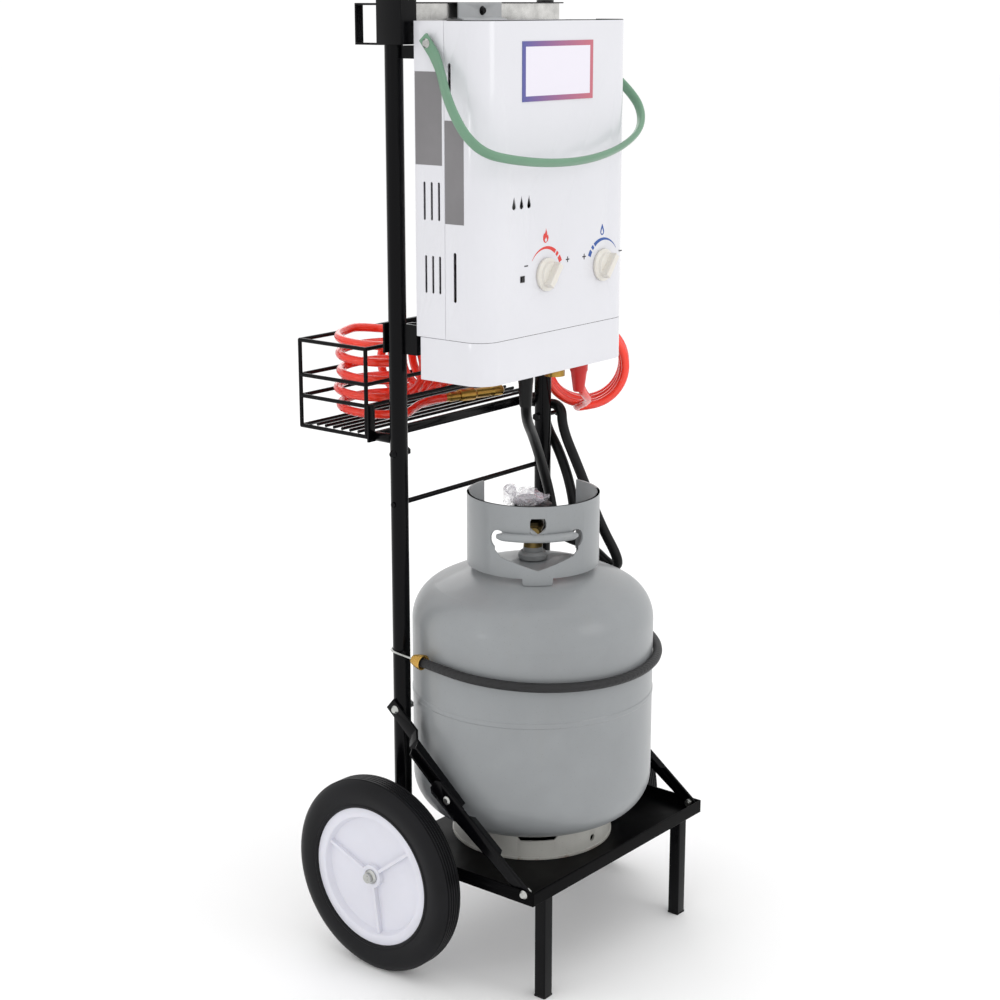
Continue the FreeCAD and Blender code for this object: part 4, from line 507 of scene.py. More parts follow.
# Black ABS of caps and the hand nut: slightly grained, half dull.
BLACK_ABS = Moulded("Moulded black ABS", "141416", 0.42, 0.08, 0.7, 0.02)
# Black rubber feet.
FOOT_RUBBER = Rubber("Moulded black rubber", "121213", 0.7, 0.08, 1.0, 0.03)
# Solid tyre: blue-black with a soft shine and a faint bloom.
TYRE_RUBBER = Rubber("Solid tyre rubber", "0b0b0e", 0.45, 0.08, 1.2, 0.04, "141418")
# Wheel disc: white nylon with a cool tint, soft light inside.
WHITE_NYLON = Moulded("Moulded white nylon", "dadae3", 0.34, 0.03, 1.0, 0.01, 0.15)
# Cylinder: light grey enamel, specks of dirt, slight gloss.
TANK = TankPaint("Light grey cylinder enamel", "8f9294", 0.36, 0.05, 2.6, 0.05, 0.15, 0.4,
                -1.0)
# Foot ring: paler paint that rusts where it stands.
RING = TankPaint("Worn grey enamel on the foot ring", "c4c3bd", 0.42, 0.08, 1.8, 0.05, 0.1, 0.5, 0.1365)
# Machined brass: warm yellow, fine turning marks.
BRASS = Metal("Machined brass", "b08c46", 0.3, 0.16, 0.6, 0.012, Grain.TURNED)
# The valve: dull brass on a painted boss, with painted shade that makes it nearly black under the handwheel.
VALVE_BRASS = Bossed("Dull brass on a painted boss", "8f7a4a", 0.38, 0.2, 0.6, 0.012, Grain.TURNED)
# Spring wire: brighter, drawn.
SPRING_BRASS = Metal("Drawn brass spring wire", "c9a256", 0.22, 0.1, 0.5, 0.008, Grain.DRAWN)
# Clear crumpled film on the valve.
FILM = ClearFilm("Clear polyethylene film", "c9c4cd", 0.14)
# Heater covers: gloss white powder coat, mirror-like under soft light.
WHITE_COAT = Enamel("Gloss white powder coat", "dcdce1", 0.2, 0.012, 2.2, 0.012, 0.3)
# Exhaust grille: matt heat-resistant black.
GRILLE_BLACK = Enamel("Matt heat-proof black", "1b1b1b", 0.6, 0.1, 1.2, 0.03, 0.0)
# Sheet steel of the works inside.
SHEET_STEEL = Metal("Galvanised sheet steel", "a7a8a8", 0.38, 0.2, 1.4, 0.012, Grain.DRAWN)
# Copper pipes, half bright.
COPPER = Metal("Drawn copper", "c77b57", 0.3, 0.18, 0.9, 0.012, Grain.DRAWN)
# Knobs: off-white ABS, satin.
IVORY_ABS = Moulded("Moulded off-white ABS", "dedad2", 0.32, 0.02, 0.8, 0.012, 0.1)
# Bail: sage green polypropylene, satin with soft light inside.
SAGE_PP = Moulded("Moulded sage green polypropylene", "6b9278", 0.38, 0.06, 1.4, 0.03, 0.05)
# Side stickers: plain grey film.
GREY_STICKER = Moulded("Matt grey sticker", "7d7b7d", 0.55, 0.1, 3.0, 0.01)
# Gas hose: smooth black nitrile rubber with a soft shine.
NITRILE = Rubber("Extruded nitrile rubber hose", "0e0e0f", 0.34, 0.08, 1.0, 0.02, "1a1a1c")
# Recoil hose: translucent red polyurethane.
RED_HOSE = ClearHose("Translucent red polyurethane", "ff3c22", 0.22)
# Sleeve on the red hose's end: the same red, moulded and duller.
RED_SLEEVE = Moulded("Moulded red sleeve", "c91a14", 0.4, 0.04, 1.0, 0.01, 0.1)
# Elastic: black polyester braid over rubber strands, with painted shade between the yarns.
ELASTIC = Braid("Black braided elastic cover", "111114", 0.6)
# Badge: a bare pale plate in a frame that runs from blue to red.
BADGE = PrintedPlate("White printed plate", "e6e2ec", 0.25, centre=tuple(place(-5.85, -137, 1119.5)),
                     half_x=0.06895, half_z=0.0345, frame_mm=6.2)
# Inks of the dial marks.
RED_INK = Moulded("Red screen ink", "d8352c", 0.4, 0.02, 1.0, 0.0)
BLUE_INK = Moulded("Blue screen ink", "1f4f9c", 0.4, 0.02, 1.0, 0.0)
DARK_INK = Moulded("Dark screen ink", "2a2a30", 0.4, 0.02, 1.0, 0.0)


def dress(finish: Finish, *nodes: str) -> None:
    """Give carried-over nodes a finish in all their material slots.

    Args:
        finish: The finish.
        *nodes: Names of the nodes.
    """
    for name in nodes:
        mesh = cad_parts[name].data
        mesh.materials.clear()
        mesh.materials.append(finish.material())
    log.info("dressed %s: %s", ", ".join(nodes), finish.name)


def keep(piece: bpy.types.Object, body: str, finish: Optional[Finish] = None) -> None:
    """Finish a new piece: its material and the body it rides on.

    Args:
        piece: The piece, in place.
        body: The body that carries it.
        finish: Its finish, if it has a single one.
    """
    if finish is not None:
        piece.data.materials.clear()
        piece.data.materials.append(finish.material())
    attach(piece, body)
    log.info("made %s", piece.name)


def settle(name: str) -> bpy.types.Object:
    """Name the active object, put its place in its mesh and leave object mode clean.

    Args:
        name: The piece's name.

    Returns:
        The piece, at the origin, unturned and unscaled.
    """
    if bpy.context.object.mode != "OBJECT":
        bpy.ops.object.mode_set(mode="OBJECT")
    bpy.ops.object.transform_apply(location=True, rotation=True, scale=True)
    piece = bpy.context.object
    piece.name = piece.data.name = name
    return piece


def nurbs(name: str, points: Iterable[Vector], radius: float, resolution: int = 8,
          sides: int = 6) -> bpy.types.Object:
    """Lay a smooth round cord along control points.

    Args:
        name: The cord's name.
        points: Control points in metres.
        radius: Half its diameter, in metres.
        resolution: Steps between control points.
        sides: Bevel resolution of its section.

    Returns:
        The curve object.
    """
    curve = bpy.data.curves.new(name, "CURVE")
    curve.dimensions = "3D"
    curve.bevel_depth = radius
    curve.bevel_resolution = sides
    curve.resolution_u = curve.render_resolution_u = resolution
    curve.use_fill_caps = True
    points = list(points)
    spline = curve.splines.new("NURBS")
    spline.points.add(len(points) - 1)
    for knot, point in zip(spline.points, points):
        knot.co = (*point, 1.0)
    spline.order_u = 3
    spline.use_endpoint_u = True
    cord = bpy.data.objects.new(name, curve)
    bpy.context.scene.collection.objects.link(cord)
    return cord


def line_length(points: Iterable[Vector]) -> float:
    """Length of the smooth line that a NURBS cord follows.

    Args:
        points: Its control points in metres.

    Returns:
        The length in metres.
    """
    probe = nurbs("length_probe", points, 0.0)
    mesh = bpy.data.meshes.new_from_object(probe)
    total = sum((mesh.vertices[e.vertices[0]].co - mesh.vertices[e.vertices[1]].co).length
                for e in mesh.edges)
    curve = probe.data
    bpy.data.objects.remove(probe)
    bpy.data.curves.remove(curve)
    bpy.data.meshes.remove(mesh)
    return total


def start(kind: str, **settings) -> None:
    """Add a primitive, place and all in its mesh, and open it in edit mode with nothing selected.

    Args:
        kind: The primitive's name.
        **settings: Its size and place.
    """
    bpy.ops.object.select_all(action="DESELECT")
    getattr(bpy.ops.mesh, f"primitive_{kind}_add")(**settings)
    bpy.ops.object.transform_apply(location=True, rotation=True, scale=True)
    bpy.ops.object.mode_set(mode="EDIT")
    bpy.ops.mesh.select_all(action="DESELECT")


def shape_points(move: Callable[[Vector], Vector], only: Callable[[Vector], bool] = lambda _: True) -> None:
    """Move the points of the mesh that is open in edit mode.

    Args:
        move: Gives a point's new place.
        only: Says which points move.
    """
    mesh = bpy.context.object.data
    shape = bmesh.from_edit_mesh(mesh)
    for vertex in shape.verts:
        if only(vertex.co):
            vertex.co = move(vertex.co)
    bmesh.update_edit_mesh(mesh)


def shade(piece: bpy.types.Object, degrees: float = 35.0) -> None:
    """Shade a piece smooth, with its sharp edges kept.

    Args:
        piece: The piece.
        degrees: Edges sharper than this stay sharp.
    """
    bpy.ops.object.select_all(action="DESELECT")
    piece.select_set(True)
    bpy.context.view_layer.objects.active = piece
    bpy.ops.object.shade_smooth_by_angle(angle=math.radians(degrees))


def finish_with(piece: bpy.types.Object, kind: str, **settings) -> None:
    """Add a modifier to a piece and apply it.

    Args:
        piece: The piece.
        kind: The modifier's type.
        **settings: Its properties.
    """
    bpy.ops.object.select_all(action="DESELECT")
    piece.select_set(True)
    bpy.context.view_layer.objects.active = piece
    modifier = piece.modifiers.new(kind.lower(), kind)
    for name, value in settings.items():
        setattr(modifier, name, value)
    bpy.ops.object.modifier_apply(modifier=modifier.name)


def merged_copy(node: str, name: str) -> bpy.types.Object:
    """Copy a node's mesh as a new piece with joined facets and clean flat faces.

    Args:
        node: The node.
        name: The new piece's name.

    Returns:
        The piece, in object mode.
    """
    piece = bpy.data.objects.new(name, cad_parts[node].data.copy())
    piece.data.name = name
    bpy.context.scene.collection.objects.link(piece)
    bpy.ops.object.select_all(action="DESELECT")
    piece.select_set(True)
    bpy.context.view_layer.objects.active = piece
    bpy.ops.mesh.customdata_custom_splitnormals_clear()
    bpy.ops.object.mode_set(mode="EDIT")
    bpy.ops.mesh.select_all(action="SELECT")
    bpy.ops.mesh.remove_doubles(threshold=2e-5)
    bpy.ops.mesh.dissolve_limited(angle_limit=math.radians(0.6))
    bpy.ops.object.mode_set(mode="OBJECT")
    return piece


def softened(node: str, width_mm: float, finish: Finish, body: str) -> bpy.types.Object:
    """Replace a node by a copy whose edges are rounded as rolled, cast or moulded edges are.

    Args:
        node: The node.
        width_mm: Width of the rounding.
        finish: The finish.
        body: The body that carries it.

    Returns:
        The piece.
    """
    piece = merged_copy(node, f"{node}_rounded")
    finish_with(piece, "BEVEL", width=width_mm / 1000, segments=2, limit_method="ANGLE",
                angle_limit=math.radians(42), use_clamp_overlap=True, harden_normals=False)
    shade(piece, 32)
    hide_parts(node)
    keep(piece, body, finish)
    return piece


def lathe(name: str, profile: Sequence[tuple[float, float]], foot: Vector, axis: Vector, across: Vector,
          steps: int = 96) -> bpy.types.Object:
    """Turn a profile about an axis.

    Args:
        name: The piece's name.
        profile: Radius and height of its points in millimetres; a closed one ends where it starts.
        foot: Where the axis starts, in metres.
        axis: The axis, a unit vector.
        across: Unit vector towards the profile.
        steps: Number of steps round the axis.

    Returns:
        The piece, in object mode.
    """
    start("plane", size=0.01)
    bpy.ops.mesh.select_all(action="SELECT")
    bpy.ops.mesh.merge(type="CENTER")
    spots = [foot + across * (radius / 1000) + axis * (height / 1000) for radius, height in profile]
    shape_points(lambda _: spots[0])
    bpy.ops.mesh.select_all(action="SELECT")
    for before, after in zip(spots, spots[1:]):
        bpy.ops.mesh.extrude_vertices_move(TRANSFORM_OT_translate={"value": after - before})
    bpy.ops.mesh.select_all(action="SELECT")
    bpy.ops.mesh.spin(steps=steps, angle=2 * math.pi, center=foot, axis=axis)
    bpy.ops.mesh.select_all(action="SELECT")
    bpy.ops.mesh.remove_doubles(threshold=1e-6)
    bpy.ops.mesh.normals_make_consistent(inside=False)
    piece = settle(name)
    shade(piece, 30)
    return piece


def line_points(points: Iterable[Vector], resolution: int) -> list[Vector]:
    """Places along the smooth line that control points draw.

    Args:
        points: The control points in metres.
        resolution: Steps between control points.

    Returns:
        The places in order.
    """
    probe = nurbs("line_probe", points, 0.0, resolution)
    mesh = bpy.data.meshes.new_from_object(probe)
    places = [vertex.co.copy() for vertex in mesh.vertices]
    curve = probe.data
    bpy.data.objects.remove(probe)
    bpy.data.curves.remove(curve)
    bpy.data.meshes.remove(mesh)
    return places


def swept(name: str, rings: Sequence[Sequence[Vector]]) -> bpy.types.Object:
    """Extrude a section ring by ring.

    Args:
        name: The piece's name.
        rings: The section's points at each station, in metres.

    Returns:
        The piece, in object mode.
    """
    start("circle", vertices=len(rings[0]), radius=0.01, fill_type="NGON")
    shape = bmesh.from_edit_mesh(bpy.context.object.data)
    for vertex, spot in zip(shape.verts, rings[0]):
        vertex.co = spot
    bmesh.update_edit_mesh(bpy.context.object.data)
    bpy.ops.mesh.select_all(action="SELECT")
    for before, after in zip(rings, rings[1:]):
        bpy.ops.mesh.extrude_region_move()
        shape = bmesh.from_edit_mesh(bpy.context.object.data)
        for vertex in [v for v in shape.verts if v.select]:
            index = min(range(len(before)), key=lambda i: (before[i] - vertex.co).length_squared)
            vertex.co = after[index]
        bmesh.update_edit_mesh(bpy.context.object.data)
    bpy.ops.mesh.select_all(action="SELECT")
    bpy.ops.mesh.normals_make_consistent(inside=False)
    return settle(name)


def stencil(name: str, outline: Sequence[tuple[float, float]], front_y: float,
            thickness_mm: float = 0.15) -> bpy.types.Object:
    """Lay a thin printed shape on a face that looks forwards.

    Args:
        name: The shape's name.
        outline: X and Z of its corners in millimetres on the drawing.
        front_y: Y of the face on the drawing.
        thickness_mm: How far the ink stands proud.

    Returns:
        The piece, in object mode.
    """
    start("circle", vertices=len(outline), radius=0.01, fill_type="NGON")
    shape = bmesh.from_edit_mesh(bpy.context.object.data)
    for vertex, (x, z) in zip(shape.verts, outline):
        vertex.co = place(x, front_y - 0.02, z)
    bmesh.update_edit_mesh(bpy.context.object.data)
    bpy.ops.mesh.select_all(action="SELECT")
    bpy.ops.mesh.extrude_region_move(TRANSFORM_OT_translate={"value": (0, -thickness_mm / 1000, 0)})
    bpy.ops.mesh.select_all(action="SELECT")
    bpy.ops.mesh.normals_make_consistent(inside=False)
    return settle(name)


def joined(name: str, pieces: Sequence[bpy.types.Object]) -> bpy.types.Object:
    """Join pieces into one.

    Args:
        name: The joined piece's name.
        pieces: The pieces.

    Returns:
        The joined piece.
    """
    bpy.ops.object.select_all(action="DESELECT")
    for piece in pieces:
        piece.select_set(True)
    bpy.context.view_layer.objects.active = pieces[0]
    bpy.ops.object.join()
    pieces[0].name = pieces[0].data.name = name
    return pieces[0]


# Sub-assemblies


@dataclass
class GasHose:
    """The black hose from the regulator over the peg and up to the heater."""

    radius: float = 0.0068
    fitting: Point = (-2.0, -86.0, 755.6)
    route: Sequence[Point] = (
        (92.22, -54.79, 523.07), (111.8, -65.4, 506.3), (153, -76, 489), (171, -101, 457),
        (160, -121, 472), (157, -88, 521), (163, -49, 588), (165, -18, 640), (166, -16, 671.4),
        (167, 15, 671.4), (167, 12, 641), (165, -14, 608), (156, -42, 560), (152, -52, 508),
        (127, -37, 505), (124, -30, 556), (100, -34, 604), (60, -50, 652), (18, -72, 682),
        (-2, -86, 708), (-2, -86, 738),
    )

    def build(self) -> None:
        points = [place(*p) for p in self.route]
        hose = nurbs("gas_hose_line", points, self.radius, 12, 8)
        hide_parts("gas_hose")
        keep(hose, "cart", NITRILE)
        line_length(points)
        self.sleeve()

    def sleeve(self) -> None:
        """Mould the tapered sleeve that hides the fitting under the heater."""
        profile = [(7.1, 0), (9.6, 0), (9.9, -2), (9.6, -18), (9.0, -22), (7.9, -48), (7.4, -50), (6.9, -50),
                   (6.9, -20), (7.1, 0)]
        sleeve = lathe("gas_hose_sleeve", profile, place(*self.fitting), Vector((0, 0, 1)),
                       Vector((1, 0, 0)), 40)
        keep(sleeve, "cart", NITRILE)


@dataclass(frozen=True)
class Coil:
    """Loose turns about an axis, in millimetres on the drawing."""

    centre: Point  # middle of the first turn
    axis: Point  # direction in which the turns advance
    across: Point  # direction of the first point
    radius: float
    pitch: float
    count: float
    drift: float  # how far single turns differ in size


@dataclass
class RecoilHose:
    """The red recoil hose: a hanging bunch, a run in the basket and a stack at its left end."""

    radius: float = 0.0055
    steps: int = 14
    swell: float = 1.0255  # control points lie this much outside the turns they draw
    fitting: Point = (112.0, -84.0, 755.6)
    lead: Sequence[Point] = ((112, -84, 736), (112, -84, 720), (135, -75, 700), (168, -62, 684),
                             (186, -21, 666))
    bunch: Coil = Coil((195, -34, 722), (-0.78, -0.626, 0), (0, 0, -1), 53.0, -12.2, 4.5, 4.0)
    link: Sequence[Point] = ((224, 18, 774), (209, 53, 763), (164, 78, 765.5), (110.5, 70, 787))
    run: Coil = Coil((108, 98.6, 746.2), (-1, 0, 0), (0, 0, 1), 41.0, 21.0, 7.0, 1.5)
    climb: Sequence[Point] = ((-35, 121.5, 787.2), (-66, 142.8, 791.6))
    stack: Coil = Coil((-84.5, 98.6, 789.8), (0, 0, 1), (0, 1, 0), 42.0, -22.0, 4.5, 3.0)
    tail: Sequence[Point] = ((-68, 54.6, 688), (-1.7, 86.8, 690.5), (34, 78, 690.5))

    def turns(self, coil: Coil) -> list[Point]:
        """Control points of a coil's turns.

        Args:
            coil: The coil.

        Returns:
            Points in millimetres on the drawing.
        """
        axis, across = Vector(coil.axis).normalized(), Vector(coil.across)
        side = axis.cross(across)
        points = []
        for step in range(int(coil.count * self.steps) + 1):
            turn = 2 * math.pi * step / self.steps
            stray = coil.drift * math.sin(turn * 0.37 + 0.8) * math.sin(turn * 0.11)
            reach = coil.radius * self.swell + stray
            spot = Vector(coil.centre) + (across * math.cos(turn) + side * math.sin(turn)) * reach
            points.append(tuple(spot + axis * (coil.pitch * step / self.steps)))
        return points

    def build(self) -> None:
        route = [*self.lead, *self.turns(self.bunch), *self.link, *self.turns(self.run), *self.climb,
                 *self.turns(self.stack), *self.tail]
        points = [place(*spot) for spot in route]
        hose = nurbs("recoil_hose_line", points, self.radius, 4, 5)
        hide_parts("red_hose_bunch", "red_hose_run", "red_hose_stack", "red_hose_links")
        keep(hose, "cart", RED_HOSE)
        dress(BRASS, "nozzle")
        line_length(points)
        self.sleeve()

    def sleeve(self) -> None:
        """Mould the tapered red sleeve on the heater's outlet."""
        profile = [(9.1, 0), (11.6, 0), (12.0, -2), (11.6, -20), (10.4, -23), (7.4, -46), (6.6, -48),
                   (5.6, -48), (5.6, -22), (9.1, -20), (9.1, 0)]
        sleeve = lathe("recoil_hose_sleeve", profile, place(*self.fitting), Vector((0, 0, 1)),
                       Vector((1, 0, 0)), 40)
        keep(sleeve, "cart", RED_SLEEVE)


@dataclass
class Cart:
    """The welded and bolted steel cart."""

    painted: Sequence[str] = ("lower_uprights", "upper_uprights", "top_bar", "lower_crossbar",
                              "heater_standoffs", "hose_hanger", "axle_brackets", "tray", "legs",
                              "brace_arms", "brace_links", "basket_rails", "basket_floor",
                              "basket_mounts")
    edges_mm: Mapping[str, float] = field(default_factory=lambda: {
        "tray": 0.8, "legs": 1.0, "brace_arms": 0.6, "brace_links": 0.6, "hose_hanger": 0.6,
        "lower_crossbar": 0.6, "top_bar": 0.4, "axle_brackets": 0.6, "basket_mounts": 0.5})

    def build(self) -> None:
        """Dress the cart's nodes."""
        dress(BLACK_ENAMEL, *[node for node in self.painted if node not in self.edges_mm])
        for node, width in self.edges_mm.items():
            finish = TRAY_ENAMEL if node == "tray" else BLACK_ENAMEL
            softened(node, width, finish, "cart")
        dress(BLACK_ENAMEL, "frame_bolts")
        dress(ZINC, "axle", "axle_sleeves", "brace_pins")
        dress(BRIGHT_STRIP, "top_bar_strip")
        softened("hanger_plate", 0.5, GREY_PAINT, "cart")
        dress(BLACK_ABS, "tube_caps")
        dress(FOOT_RUBBER, "leg_feet")


class Side(Enum):
    """Which wheel."""

    LEFT = -1
    RIGHT = 1


@dataclass
class Wheel:
    """One wheel: ribbed solid tyre, moulded disc and bush."""

    side: Side
    radius: float = 127.0
    seat: float = 90.6
    width: float = 38.0
    outer_x: float = 233.2
    hub: Point = (0.0, -17.75, 127.0)
    ribs: int = 5
    groove: float = 2.4
    shoulder: float = 8.5

    def section(self) -> list[tuple[float, float]]:
        """Draw the rubber's outline.

        Returns:
            Radius and depth from the outer face of its points, in millimetres, closed.
        """
        half = [(self.seat, 3.2), (self.seat + 1.2, 1.4), (self.seat + 3.6, 0.9), (self.seat + 5.0, 1.9),
                (self.seat + 8.0, 1.2), (self.seat + 14.0, 0.35), (self.radius - 17.0, 0.1),
                (self.radius - 11.0, 0.9), (self.radius - 6.0, 2.9), (self.radius - 2.6, 5.6),
                (self.radius - 0.9, 7.6)]
        land = (self.width - 2 * self.shoulder) / self.ribs
        tread = []
        for rib in range(self.ribs):
            first = self.shoulder + land * rib
            tread += [(self.radius - self.groove, first), (self.radius - 0.25, first + land * 0.2),
                      (self.radius, first + land * 0.45), (self.radius - 0.25, first + land * 0.75),
                      (self.radius - self.groove, first + land * 0.92)]
        back = [(radius, self.width - depth) for radius, depth in reversed(half)]
        return half + tread + back + half[:1]

    def build(self) -> None:
        """Turn the tyre and finish the disc and the bush."""
        word = self.side.name.lower()
        inward = Vector((-self.side.value, 0, 0))
        foot = place(self.side.value * self.outer_x, self.hub[1], self.hub[2])
        tyre = lathe(f"tyre_{word}_ribbed", self.section(), foot, inward, Vector((0, 0, 1)), 144)
        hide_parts(f"tyre_{word}")
        keep(tyre, f"{word}_wheel", TYRE_RUBBER)
        softened(f"wheel_disc_{word}", 1.0, WHITE_NYLON, f"{word}_wheel")
        dress(BRASS, f"wheel_bush_{word}")


@dataclass
class Cylinder:
    """The propane cylinder with its collar, foot ring and valve."""

    axis_y: float = -97.2
    collar_r: float = 84.4
    collar_top: float = 598.0
    collar_front: float = -48.0  # degrees round the cylinder's axis
    eye_z: float = 574.0
    eye_grow: float = 1.38
    eye_r: float = 10.8
    eye_low: float = 4.5
    lobe_r: float = 12.0
    lobe_turn: float = 35.0
    window_z: float = 553.5
    tab: Sequence[tuple[float, float]] = ((12.5, 488.0), (30.0, 488.0), (30.0, 504.5), (21.0, 504.5))
    grip_z: float = 558.0
    grip_r: float = 5.2
    grip_turn: float = 71.0
    film_foot: float = 581.8
    film_lumps: Sequence[tuple[str, Point, Point]] = (
        ("wrap", (-3, -93, 588), (24, 22, 8)), ("wing", (9, -104, 589), (15, 8, 5)),
        ("twist", (-20, -74, 592), (9, 7, 10)), ("tip", (-19, -75, 601), (7, 4, 4)))

    def build(self) -> None:
        """Finish the cylinder's nodes and model the collar and the film."""
        dress(TANK, "tank_shell")
        self.collar()
        softened("foot_ring", 0.8, RING, "cart")
        dress(VALVE_BRASS, "valve_body")
        softened("valve_handwheel", 1.0, BLACK_ABS, "valve_wheel")
        softened("coupling_nut", 0.6, BLACK_ABS, "cart")
        self.film()
        softened("regulator", 1.2, GREY_PAINT, "cart")

    def on_collar(self, spot: Vector) -> tuple[float, float]:
        """Measure where a place lies on the collar.

        Args:
            spot: The place, in metres.

        Returns:
            Degrees from the collar's front and height in millimetres.
        """
        x, y = spot.x * 1000, (spot.y - BACK) * 1000 - self.axis_y
        turn = math.degrees(math.atan2(x, -y)) - self.collar_front
        return (turn + 180) % 360 - 180, spot.z * 1000

    def widen_eye(self, spot: Vector) -> Vector:
        """Find where a corner of the eye goes when the eye is cut larger.

        Args:
            spot: The corner, in metres.

        Returns:
            Its new place.
        """
        turn, height = self.on_collar(spot)
        reach = math.hypot(spot.x, spot.y - BACK - self.axis_y / 1000)
        turned = math.radians(turn * self.eye_grow + self.collar_front)
        return Vector((reach * math.sin(turned), BACK + self.axis_y / 1000 - reach * math.cos(turned),
                       (self.eye_z + (height - self.eye_z) * self.eye_grow) / 1000))

    def collar(self) -> None:
        """Trim the collar's band level at its top, cut its eye larger and roll its edges."""
        band = merged_copy("tank_collar", "tank_collar_rolled")
        bpy.ops.object.mode_set(mode="EDIT")
        bpy.ops.mesh.select_all(action="SELECT")
        bpy.ops.mesh.bisect(plane_co=place(0, 0, self.collar_top), plane_no=(0, 0, 1), use_fill=True,
                            clear_outer=True)

        def in_eye(spot: Vector) -> bool:
            """Say whether a point is a corner of the eye.

            Args:
                spot: The point, in metres.

            Returns:
                True for a corner.
            """
            turn, height = self.on_collar(spot)
            return abs(turn) < 6.5 and abs(height - self.eye_z) < 9.5

        shape_points(self.widen_eye, in_eye)
        bpy.ops.object.mode_set(mode="OBJECT")
        for turn, outline in self.cuts():
            cutter = self.radial_cutter(turn, outline)
            finish_with(band, "BOOLEAN", operation="DIFFERENCE", object=cutter, solver="EXACT")
            bpy.data.objects.remove(cutter)
        band = joined("tank_collar_rolled", [band, self.grip()])
        finish_with(band, "BEVEL", width=0.0009, segments=2, limit_method="ANGLE",
                    angle_limit=math.radians(42), use_clamp_overlap=True)
        shade(band, 32)
        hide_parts("tank_collar")
        keep(band, "cart", TANK)

    def cuts(self) -> list[tuple[float, list[tuple[float, float]]]]:
        """Draw the eye, the hand window's two round ends and the slanted sides of the tab.

        Returns:
            Each cut's degrees from the collar's front and its outline in millimetres.
        """
        eye = [(self.eye_r * math.sin(math.radians(a)),
                self.eye_z - self.eye_low - self.eye_r * math.cos(math.radians(a)))
               for a in (-26, 26, 77, 128, 180, -128, -77)]
        lobe = [(self.lobe_r * math.sin(math.radians(a)),
                 self.window_z + self.lobe_r * math.cos(math.radians(a))) for a in range(0, 360, 20)]
        cuts = [(0.0, eye)]
        for side in (-1, 1):
            cuts.append((side * self.lobe_turn, lobe))
            cuts.append((0.0, [(side * x, z) for x, z in self.tab]))
        return cuts

    def radial_cutter(self, turn: float, outline: Sequence[tuple[float, float]]) -> bpy.types.Object:
        """Make a prism that runs out through the collar.

        Args:
            turn: Degrees from the collar's front.
            outline: Millimetres sideways and height of its corners.

        Returns:
            The prism.
        """
        heading = math.radians(turn + self.collar_front)
        out = Vector((math.sin(heading), -math.cos(heading), 0))
        side = Vector((math.cos(heading), math.sin(heading), 0))
        start("circle", vertices=len(outline), radius=0.01, fill_type="NGON")
        shape = bmesh.from_edit_mesh(bpy.context.object.data)
        for vertex, (across, height) in zip(shape.verts, outline):
            vertex.co = place(0, self.axis_y, height) + side * (across / 1000) + out * 0.058
        bmesh.update_edit_mesh(bpy.context.object.data)
        bpy.ops.mesh.select_all(action="SELECT")
        bpy.ops.mesh.extrude_region_move(TRANSFORM_OT_translate={"value": out * 0.05})
        bpy.ops.mesh.select_all(action="SELECT")
        bpy.ops.mesh.normals_make_consistent(inside=False)
        return settle("collar_cutter")

    def grip(self) -> bpy.types.Object:
        """Bend the rolled lip along the hand window's upper edge.

        Returns:
            The lip.
        """
        rings, steps = [], 24
        for step in range(steps + 1):
            turn = math.radians(self.collar_front + self.grip_turn * (step / steps - 0.5))
            out = Vector((math.sin(turn), -math.cos(turn), 0))
            middle = place(0, self.axis_y, self.grip_z) + out * (self.collar_r + 1.2) / 1000
            radius = self.grip_r / 1000 * min(1.0, 0.55 + 0.3 * min(step, steps - step))
            rings.append([middle + (out * math.cos(a) + Vector((0, 0, 1)) * math.sin(a)) * radius
                          for a in (math.radians(30 * k) for k in range(12))])
        return swept("collar_grip", rings)

    def film(self) -> None:
        """Crumple the clear film over the handwheel, with its twisted end at the left."""
        lumps = []
        crumple = bpy.data.textures.new("film_crumple", "VORONOI")
        crumple.noise_scale, crumple.distance_metric = 0.022, "DISTANCE"
        folds = bpy.data.textures.new("film_folds", "CLOUDS")
        folds.noise_scale, folds.noise_depth = 0.024, 2
        for name, spot, size in self.film_lumps:
            start("ico_sphere", subdivisions=4, radius=1.0)
            centre = place(*spot)
            scale = Matrix.Diagonal(Vector(size) / 1000)
            shape_points(lambda v, c=centre, s=scale: c + s @ v)
            lump = settle(f"film_{name}")
            finish_with(lump, "DISPLACE", texture=folds, texture_coords="GLOBAL", strength=0.012,
                        mid_level=0.5)
            finish_with(lump, "DISPLACE", texture=crumple, texture_coords="GLOBAL", strength=0.007,
                        mid_level=0.4)
            lumps.append(lump)
        wrap = joined("valve_film_crumpled", lumps)
        bpy.ops.object.mode_set(mode="EDIT")
        bpy.ops.mesh.select_all(action="SELECT")
        bpy.ops.mesh.bisect(plane_co=place(0, 0, self.film_foot), plane_no=(0, 0, 1), use_fill=True,
                            clear_inner=True)
        wrap = settle("valve_film_crumpled")
        shade(wrap, 22)
        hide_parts("valve_film")
        keep(wrap, "valve_wheel", FILM)


